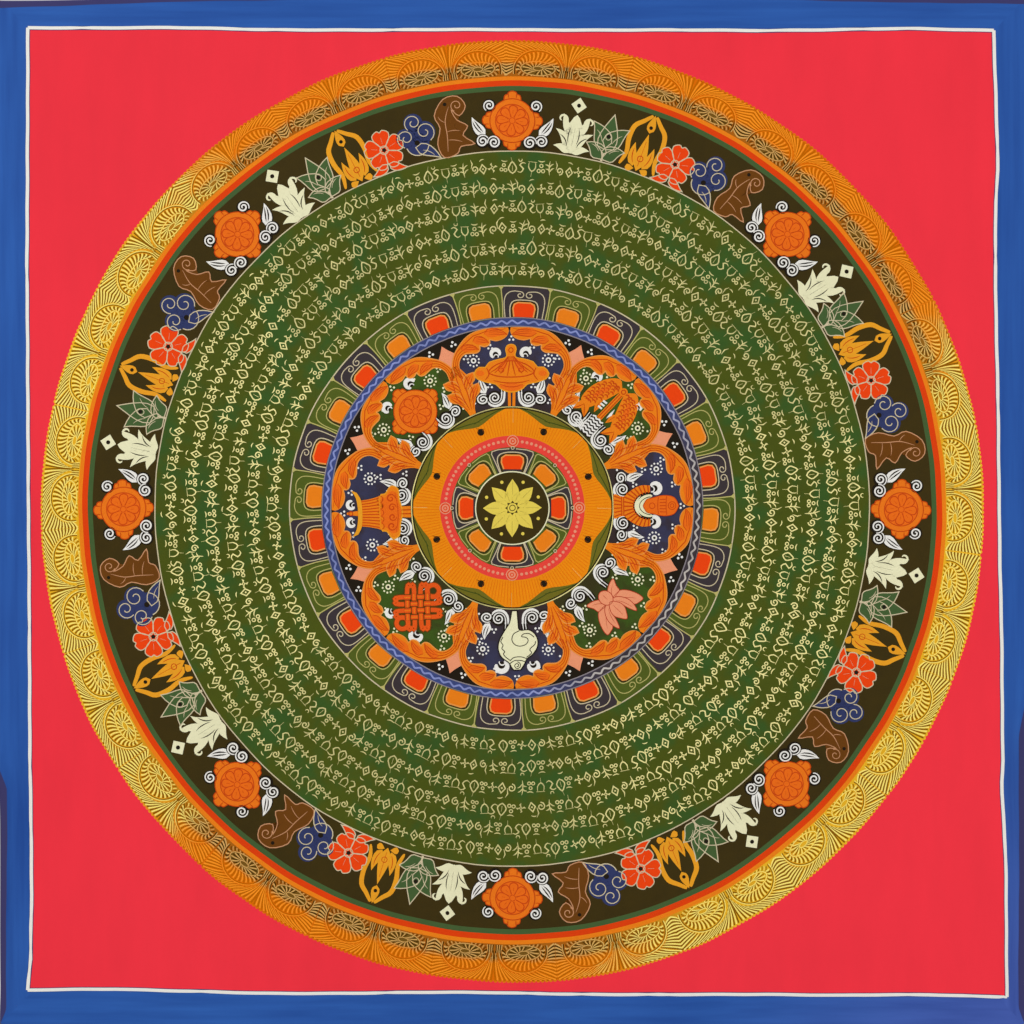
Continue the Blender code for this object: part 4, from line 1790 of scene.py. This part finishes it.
def lotus(c, at):
    """A pink lotus: outer and lower petals, the next pair, and the middle."""
    outer = [(1.0, -0.6), (5.0, 3.4), (9.2, 10.2), (12.0, 11.4), (15.2, 11.6), (15.0, 8.0), (13.2, 3.6),
             (10.8, 0.2), (8.4, -1.4), (4.0, -1.4)]
    lower = [(1.0, -0.2), (5.6, -1.0), (8.8, -1.6), (9.4, -4.8), (11.2, -9.0), (6.8, -8.2), (3.0, -5.4)]
    second = [(0.6, -0.8), (3.6, 3.6), (5.0, 9.0), (7.4, 13.9), (8.9, 10.0), (8.6, 5.6), (6.4, 1.4),
              (3.6, -0.8)]
    centre = paired([(0, -0.8), (3.4, 3.0), (4.1, 6.8), (2.6, 10.0), (0, 13.2)])
    foot = paired([(0, 0.6), (2.8, -1.0), (3.9, -4.4), (2.6, -7.6), (0, -8.9)])
    petals = [(0, outer, (4.0, 0.6), (12.6, 9.0), True), (0, lower, (3.4, -2.4), (8.6, -6.8), True),
              (1, second, (3.2, 1.0), (7.0, 10.6), True), (2, centre, (0, 1.6), (0, 10.2), False),
              (2, foot, (0, -2.6), (0, -7.0), False)]
    for tier, knots, root, tip, doubled in petals:
        for side in (-1, 1)[:1 + doubled]:
            shape = smooth(sided(knots, side), 3, True)
            c.lotus[tier].pink.patch(shape, at, 1)
            c.lotus[tier].crease.even(shape, 0.5, at, True)
            c.lotus[tier].crease.line(bow((side * root[0], root[1]), (side * tip[0], tip[1]),
                                          -side * 0.6 * doubled), 0.45, at, LEAF)


def conch(c, at):
    """A white conch with its mouth downwards."""
    left = smooth([(-1.0, -20.6), (-1.4, -13.7), (-2.2, -9.0), (-7.4, -9.0), (-11.0, -6.6), (-12.9, -2.4),
                   (-12.4, 2.0), (-9.6, 6.0), (-6.0, 8.6), (-4.6, 11.4), (-2.0, 15.2)], 3)
    right = smooth([(2.0, -20.6), (3.4, -13.8), (6.0, -9.6), (8.4, -5.6), (10.2, -1.6), (10.7, 2.8),
                    (9.0, 7.2), (5.6, 10.0), (4.2, 11.6), (3.4, 13.4), (2.0, 15.2)], 3)
    c.cream.ribbon(left, right, at, 28, 6)
    c.ink.even(left + right[::-1], 0.6, at, True)
    c.ink.even(spiral(0.0, 12.6, 2.3, 0.5, 180, 1.6), 0.55, at)
    for knots in (((-5.8, 8.6), (-2.6, 7.4), (1.6, 7.6), (4.2, 9.6)),
                  ((-5.0, 10.6), (-2.4, 9.6), (1.6, 9.6), (4.4, 11.4)),
                  ((-2.0, -8.6), (1.2, -6.8), (2.4, -3.4), (1.0, -0.4), (-2.2, 0.8), (-5.8, -0.2),
                   (-7.2, -2.6), (-6.0, -4.4), (-3.4, -5.0), (-4.6, -6.6), (-8.0, -6.6), (-10.8, -4.4)),
                  ((-5.8, 7.8), (-9.0, 5.2), (-8.0, 3.4), (-9.0, 1.8), (-11.0, 0.2), (-11.7, -2.0)),
                  ((4.2, 9.2), (6.8, 7.0), (7.8, 5.2), (7.0, 3.8), (8.6, 2.0), (7.8, 0.0), (9.0, -2.3),
                   (7.6, -4.9))):
        c.ink.even(smooth(knots, 4), 0.6, at)


def endless_knot(c, at):
    """Four long loops and two round ones, woven over and under."""
    def slanted(points):
        return at(turned(points, -45, 0.88))

    pitch, reach = 4.5, 12.4
    rails = [pitch * (i - 1.5) for i in range(4)]
    loops = []
    for low in (rails[0], rails[2]):
        for tall in (False, True):
            points = smooth([(-reach, low), (reach, low), (reach + 2.0, low + pitch / 2),
                             (reach, low + pitch), (-reach, low + pitch),
                             (-reach - 2.0, low + pitch / 2)], 4, True)
            loops.append([(y, x) for x, y in points] if tall else points)
    for x, y in ((1, 1), (-1, -1)):
        loops.append([(px + x * 10.6, py + y * 10.6) for px, py in oval(0, 0, 4.0, 1.0, 20)])
    for points in loops:
        c.brown.even(points, 3.4, slanted, True)
    for points in loops:
        c.knot.even(points, 2.3, slanted, True)
        c.amber.even(points, 0.5, slanted, True)
    for i, across in enumerate(rails):
        for j, up in enumerate(rails):
            run = [(across, up - 2.1), (across, up + 2.1)]
            if (i + j) % 2:
                run = [(across - 2.1, up), (across + 2.1, up)]
            c.over_dark.even(run, 3.2, slanted)
            c.strand.even(run, 2.3, slanted)
            c.over_light.even(run, 0.6, slanted)


def banner(c, at):
    """A victory banner: scarf, drum, scalloped hem, skirt and staff."""
    for x in (-2.2, 0, 2.2):
        c.body.even([(x, -15), (x * 1.1, -21.2)], 1.7, at)
    for x in (-1.1, 1.1):
        c.red.even([(x, -15.6), (x, -21.0)], 0.45, at)
    skirt = smooth(arched([(-9.0, -3.0), (-11.2, -6.6), (-15.6, -10.0), (-13.6, -14.0),
                           (-7.4, -14.6)], [(0, -16.2)]), 3, True)
    c.body.patch(skirt, at, 3)
    c.glow.even(skirt, 0.7, at, True)
    c.heart.patch([(x * 0.80, y * 0.92 - 0.6) for x, y in skirt], at, 2)
    for cx, cy, radius in ((-8.2, -9.6, 2.8), (8.2, -9.6, 2.8), (-2.8, -10.2, 2.4), (2.8, -10.2, 2.4)):
        c.red.line(spiral(cx, cy, radius, 0.5, 180, 1.3 if cx < 0 else -1.3), 1.0, at)
    c.red.line(bow((-11.6, -12.2), (11.6, -12.2), -1.4), 0.6, at)
    drum = [(7.4, 10.4), (8.2, 4.0), (9.0, 0.4), (9.8, -2.6)]
    facing = sided(drum)
    c.amber.ribbon(drum, facing, at, 4, 4)
    for i in range(10):
        c.red.even(midway(drum, facing, (i + 0.5) / 10, 0.0, 0.97, 4), 0.7, at)
    for x in range(-8, 9, 4):
        c.amber.spot(x, -3.0, 2.1, at, 12)
        c.red.line(arc(x, -3.0, 1.9, 100, 260, 1.0, 6), 0.6, at)
    c.yellow.ribbon(smooth(arched([(-13.8, 14.4), (-9.0, 11.6)], [(0, 10.6)]), 3),
                    smooth(arched([(-12.4, 11.0), (-8.0, 8.6)], [(0, 8.0)]), 3), at, 16, 2)
    c.body.line([(0, 10), (0, 17.4)], 3.6, at, swell(0.8, 1.0, 0.3))
    c.red.ring(0, 15.0, 1.2, 0.5, at, 9)


def emblem_wheel(c, at):
    """The wheel of the dark band again, a little smaller."""
    wheel(c.wheel, at, 0.96)


# The emblems clockwise from the top, each with the two dot flowers beside it and the small clouds
# that stand over it
EMBLEMS = ((parasol, ((-22.7, 6.4), (22.1, 6.6)), ((-9.2, 10.6, 3.4), (8.8, 10.8, 3.4))),
           (fish, ((-21.9, 4.7), (20.8, 4.4)), ((-17.8, 9.8, 3.2), (12.6, 13.4, 2.6))),
           (vase, ((-21.9, 4.7), (19.2, 2.6)), ((-10.2, 3.6, 4.0), (9.6, 2.6, 4.0))),
           (lotus, ((-21.0, 1.8), (20.4, 2.1)), ()),
           (conch, ((-19.2, 3.2), (20.0, 2.1)), ((-9.8, 12.8, 3.9), (9.2, 12.4, 4.3))),
           (endless_knot, ((-23.3, 2.0), (21.0, 3.7)), ((-11.0, 13.2, 4.2), (9.6, 13.4, 3.3))),
           (banner, ((-19.0, 2.7), (20.7, 2.3)), ((-5.2, 14.6, 3.0), (5.2, 14.6, 3.0))),
           (emblem_wheel, ((-20.9, 5.4), (19.3, 6.6)), ((-10.2, 13.0, 3.4), (9.8, 13.8, 3.6))))


class CANVAS_OT_cells(Operator):
    """Paint the eight cells: their fields, foliage, clouds, dots and emblems"""

    bl_idname = "canvas.cells"
    bl_label = "Cells and emblems"

    def execute(self, context):
        coats = Coats("cell", slate=(1, "cell_slate"), green=(1, "cell_green"), salmon=(3, "salmon"),
                      foliage=(4.4, "orange"), heart=(5.1, "ember"), veins=(5.8, "vermilion_deep"),
                      glow=(5.8, "apricot"), under=(2, "black"), white=(2.6, "chalk"),
                      dots=(2, "chalk"), pips=(2, "cream"), slits=(3.2, "black"),
                      curls=(3.8, "chalk"))
        emblems = Coats("emblem", body=(5, "orange"), heart=(6, "ember"), glow=(6, "amber"),
                        brown=(5, "brown"), amber=(6, "orange"), knot=(6, "brick"),
                        red=(7, "vermilion_deep"), under=(5, "black"), black=(7, "black"),
                        cream=(8, "cream"), over_dark=(8, "brown"), over=(9, "ember"), strand=(9, "brick"),
                        over_light=(10, "orange"), ink=(9, "black"), foam=(8, "chalk"),
                        fine=(10, "vermilion_deep"), yellow=(8, "amber"))
        emblems.wheel = wheel_coats("emblem_wheel", 5)
        emblems.lotus = [Coats(f"lotus_{tier}", pink=(5 + 1.2 * tier, "salmon"),
                               crease=(5.6 + 1.2 * tier, "crease")) for tier in range(3)]
        for k in range(CELLS):
            before, after = STEM_ANGLES[k - 1], STEM_ANGLES[k]
            before -= 360 if before > after else 0
            cool = k % 2 == 0
            tips = TIP_ANGLES[k], TIP_ANGLES[(k + 1) % CELLS] + (360 if k == CELLS - 1 else 0)
            cell_ground(coats, TIP_ANGLES[k], before, after, cool)
            foliage(coats, after, tips)
            fork_wedge(coats, after)
            at = stood(EMBLEM_RADIUS, EMBLEM_ANGLES[k])
            draw_emblem, flowers, small = EMBLEMS[k]
            cell_clouds(coats, at, cool, flowers, small)
            draw_emblem(emblems, at)
        coats.finish()
        emblems.finish()
        for layer in (emblems.wheel, *emblems.lotus):
            layer.finish()
        return {"FINISHED"}


# ---------------------------------------------------------------- the centre

POINTS = 8

# The rings of the centre, in millimetres from its middle
OLIVE_INNER = 34.0
PINK_INNER, PINK_OUTER = 36.6, 43.4
PETAL_GROUND = 21.4
PETAL_FOOT = 22.2
ROSETTE_EDGE = 21.6
BEAD_RADIUS = 40.2
BEADS = 88


class CANVAS_OT_centre(Operator):
    """Paint the disc in the centre: star, pink ring, petals and a gold lotus rosette"""

    bl_idname = "canvas.centre"
    bl_label = "Centre"

    def execute(self, context):
        [disc] = radii("disc_outer")
        paint_band("olive_disc", OLIVE_INNER, disc, paint("olive"), 0, 180)
        paint_band("pink_ring", PINK_INNER, PINK_OUTER, paint("rose"), 2, 180)
        paint_band("inner_petal_ground", PETAL_GROUND, PINK_INNER, paint("leaf_green"), 2, 144)

        coats = Coats("centre", star=(1, "disc_orange"), hatch=(2, "disc_line"),
                      black=(2, "black"), gold=(2, "gold"), olive=(1, "olive_dark"),
                      beads=(4, "blush"), rings=(5, "vermilion"))
        star = []
        for k in range(POINTS):
            star += polar([(-4.0, 59.4), (0.0, 60.0), (4.0, 59.4), (9.0, 57.4), (14.0, 55.2),
                           (18.5, 53.4), (22.5, 52.6), (26.5, 53.4), (31.0, 55.2), (36.0, 57.4)],
                          45 * k)
        coats.star.patch(star, None, 9)
        for k in range(POINTS):
            for off in range(-21, 22, 2):
                reach = 59.0 - 6.0 * (abs(off) / 22.5) ** 1.3
                coats.hatch.even([around(44.2, 45 * k + off), around(reach - 0.8, 45 * k + off)], 0.26)
            coats.gold.line([around(51.0, 45 * k + 0.4), around(59.6, 45 * k + 0.4)], 0.45)
            for side in (-1, 1):
                lens = smooth([(45 * k + 22.5 - side * 18.5, 59.4), (45 * k + 22.5 - side * 8, 56.4),
                               (45 * k + 22.5 + side * 2, 54.6)], 4)
                coats.olive.line([around(radius + 0.6, degrees) for degrees, radius in lens], 0.7)
            x, y = around(49.2, 45 * k + 22.5)
            coats.black.spot(x, y, 2.1, None, 12)
            coats.black.line([(x - 2.8, y + 2.4), (x, y + 1.5), (x + 2.6, y + 2.0)], 0.5)
        coats.black.circle(disc - 0.9, 0.6)
        coats.gold.circle(disc - 0.1, 0.5)
        for i in range(BEADS):
            degrees = 360 * i / BEADS
            if min(degrees % 90, 90 - degrees % 90) > 3.4:
                coats.beads.spot(*around(BEAD_RADIUS, degrees), 0.98)
        for degrees in (0, 90, 180, 270):
            x, y = around(BEAD_RADIUS, degrees)
            coats.beads.spot(x, y, 3.6, None, 20)
            coats.rings.ring(x, y, 2.6, 0.8, None, 18)
            coats.rings.ring(x, y, 1.0, 0.6, None, 10)
        coats.finish()
        self.petals()
        self.rosette()
        return {"FINISHED"}

    def petals(self):
        """Eight petals round the black disc."""
        coats = petal_coats("inner_petal", 3)
        half = PETAL_FOOT * radians(45) / 2
        for k in range(POINTS):
            petal(coats, bent(PETAL_FOOT, 45 * k), half, 14.2, k % 2 == 0, 5.2, 9.8, False, 1.6)
            coats.white.ring(*around(36.2, 45 * k), 0.9, 0.4, None, 8)
        coats.finish()

    def rosette(self):
        """The black disc in the middle, with a gold lotus of two rings of petals."""
        coats = Coats("rosette", black=(4, "night"), gold=(5, "bright"), slits=(6, "black"),
                      edge=(5, "cream"))
        coats.black.patch(oval(*around(0, 0), ROSETTE_EDGE, 1.0, 48), None, 3)
        coats.edge.circle(ROSETTE_EDGE + 0.2, 0.7, 6)
        at = stood(0, 0)
        for ring, (root, tip, width) in enumerate(((6.4, 17.4, 7.6), (3.0, 10.6, 4.8))):
            for k in range(POINTS):
                turn = 45 * (k + 0.5 * ring)
                coats.gold.patch(leaf_shape(*turned([(0, root), (0, tip)], turn), width), at)
                slit = turned([(0, root + 1.4), (0, tip - 1.8)], turn)
                coats.slits.line(slit, 0.8, at, LEAF)
        for place in turned(oval(0, 0, 16.6, 1.0, POINTS), 22.5):
            coats.gold.spot(*place, 1.0, at, 10)
        coats.gold.spot(0, 0, 2.9, at, 16)
        coats.slits.ring(0, 0, 1.7, 0.5, at, 12)
        coats.finish()


# ---------------------------------------------------------------- stage, panel and order of work


class CANVAS_OT_stage(Operator):
    """Set the pale floor, the soft light and the camera square on to the canvas"""

    bl_idname = "canvas.stage"
    bl_label = "Stage"

    def execute(self, context):
        scene = context.scene
        middle = Vector((0.0, 0.0, -CLOTH_HEIGHT / 2))
        bpy.ops.object.select_all(action="DESELECT")
        bpy.ops.mesh.primitive_plane_add(size=8.0, location=(0.0, 0.0, -CLOTH_HEIGHT - 0.25))
        floor = context.object
        floor.name = "floor"
        recipe = Recipe("pale_floor")
        mottle = recipe.noise(3.0, 3.0)
        floor.data.materials.append(recipe.finish(
            recipe.mix(mottle, (0.78, 0.77, 0.75, 1), (0.84, 0.83, 0.81, 1)), 0.8))
        for name, place, size, watts in (("key_light", (-1.1, -1.5, 0.6), 1.2, 15.0),
                                         ("fill_light", (1.4, -1.7, 0.0), 1.4, 10.5),
                                         ("back_light", (0.6, 1.8, 0.5), 1.2, 12.0)):
            bpy.ops.object.light_add(type="AREA", location=place)
            light = context.object
            light.name, light.data.size, light.data.energy = name, size, watts
            light.rotation_euler = (middle - light.location).to_track_quat("-Z", "Y").to_euler()
        world = bpy.data.worlds.new("soft_room")
        world.use_nodes = True
        world.node_tree.nodes["Background"].inputs["Color"].default_value = (1.0, 0.99, 0.97, 1)
        world.node_tree.nodes["Background"].inputs["Strength"].default_value = 0.50
        scene.world = world
        scene.view_settings.view_transform = "Standard"
        bpy.ops.object.camera_add(rotation=(pi / 2, 0.0, 0.0))
        camera = context.object
        camera.name = "camera"
        camera.data.lens, camera.data.sensor_width = 85.0, 36.0
        framed = 0.6144
        distance = framed / camera.data.sensor_width * camera.data.lens
        camera.location = (0.0, -distance - BELLY / 2, -CLOTH_HEIGHT / 2)
        scene.camera = camera
        return {"FINISHED"}


STEPS = (CANVAS_OT_cloth, CANVAS_OT_margin, CANVAS_OT_rings, CANVAS_OT_rim, CANVAS_OT_wheels,
         CANVAS_OT_ornaments, CANVAS_OT_rows, CANVAS_OT_petals, CANVAS_OT_cells, CANVAS_OT_centre,
         CANVAS_OT_stage)


class CANVAS_PT_panel(Panel):
    """Lists the steps in the order in which the canvas is painted"""

    bl_idname = "CANVAS_PT_panel"
    bl_label = "Painted canvas"
    bl_space_type = "VIEW_3D"
    bl_region_type = "UI"
    bl_category = "Canvas"

    def draw(self, context):
        for step in STEPS:
            self.layout.operator(step.bl_idname)
        for group in (context.scene.canvas_rings, context.scene.canvas_colours):
            for name in group.bl_rna.properties.keys():
                if name not in ("rna_type", "name"):
                    self.layout.prop(group, name)


CLASSES = (RingSizes, PaintColours, *STEPS, CANVAS_PT_panel)


def register():
    for cls in CLASSES:
        bpy.utils.register_class(cls)
    bpy.types.Scene.canvas_rings = PointerProperty(type=RingSizes)
    bpy.types.Scene.canvas_colours = PointerProperty(type=PaintColours)


def unregister():
    del bpy.types.Scene.canvas_colours
    del bpy.types.Scene.canvas_rings
    for cls in reversed(CLASSES):
        bpy.utils.unregister_class(cls)


def main():
    """Paints the canvas step by step."""
    register()
    for step in STEPS:
        area, name = step.bl_idname.split(".")
        getattr(getattr(bpy.ops, area), name)()


if __name__ == "__main__":
    main()
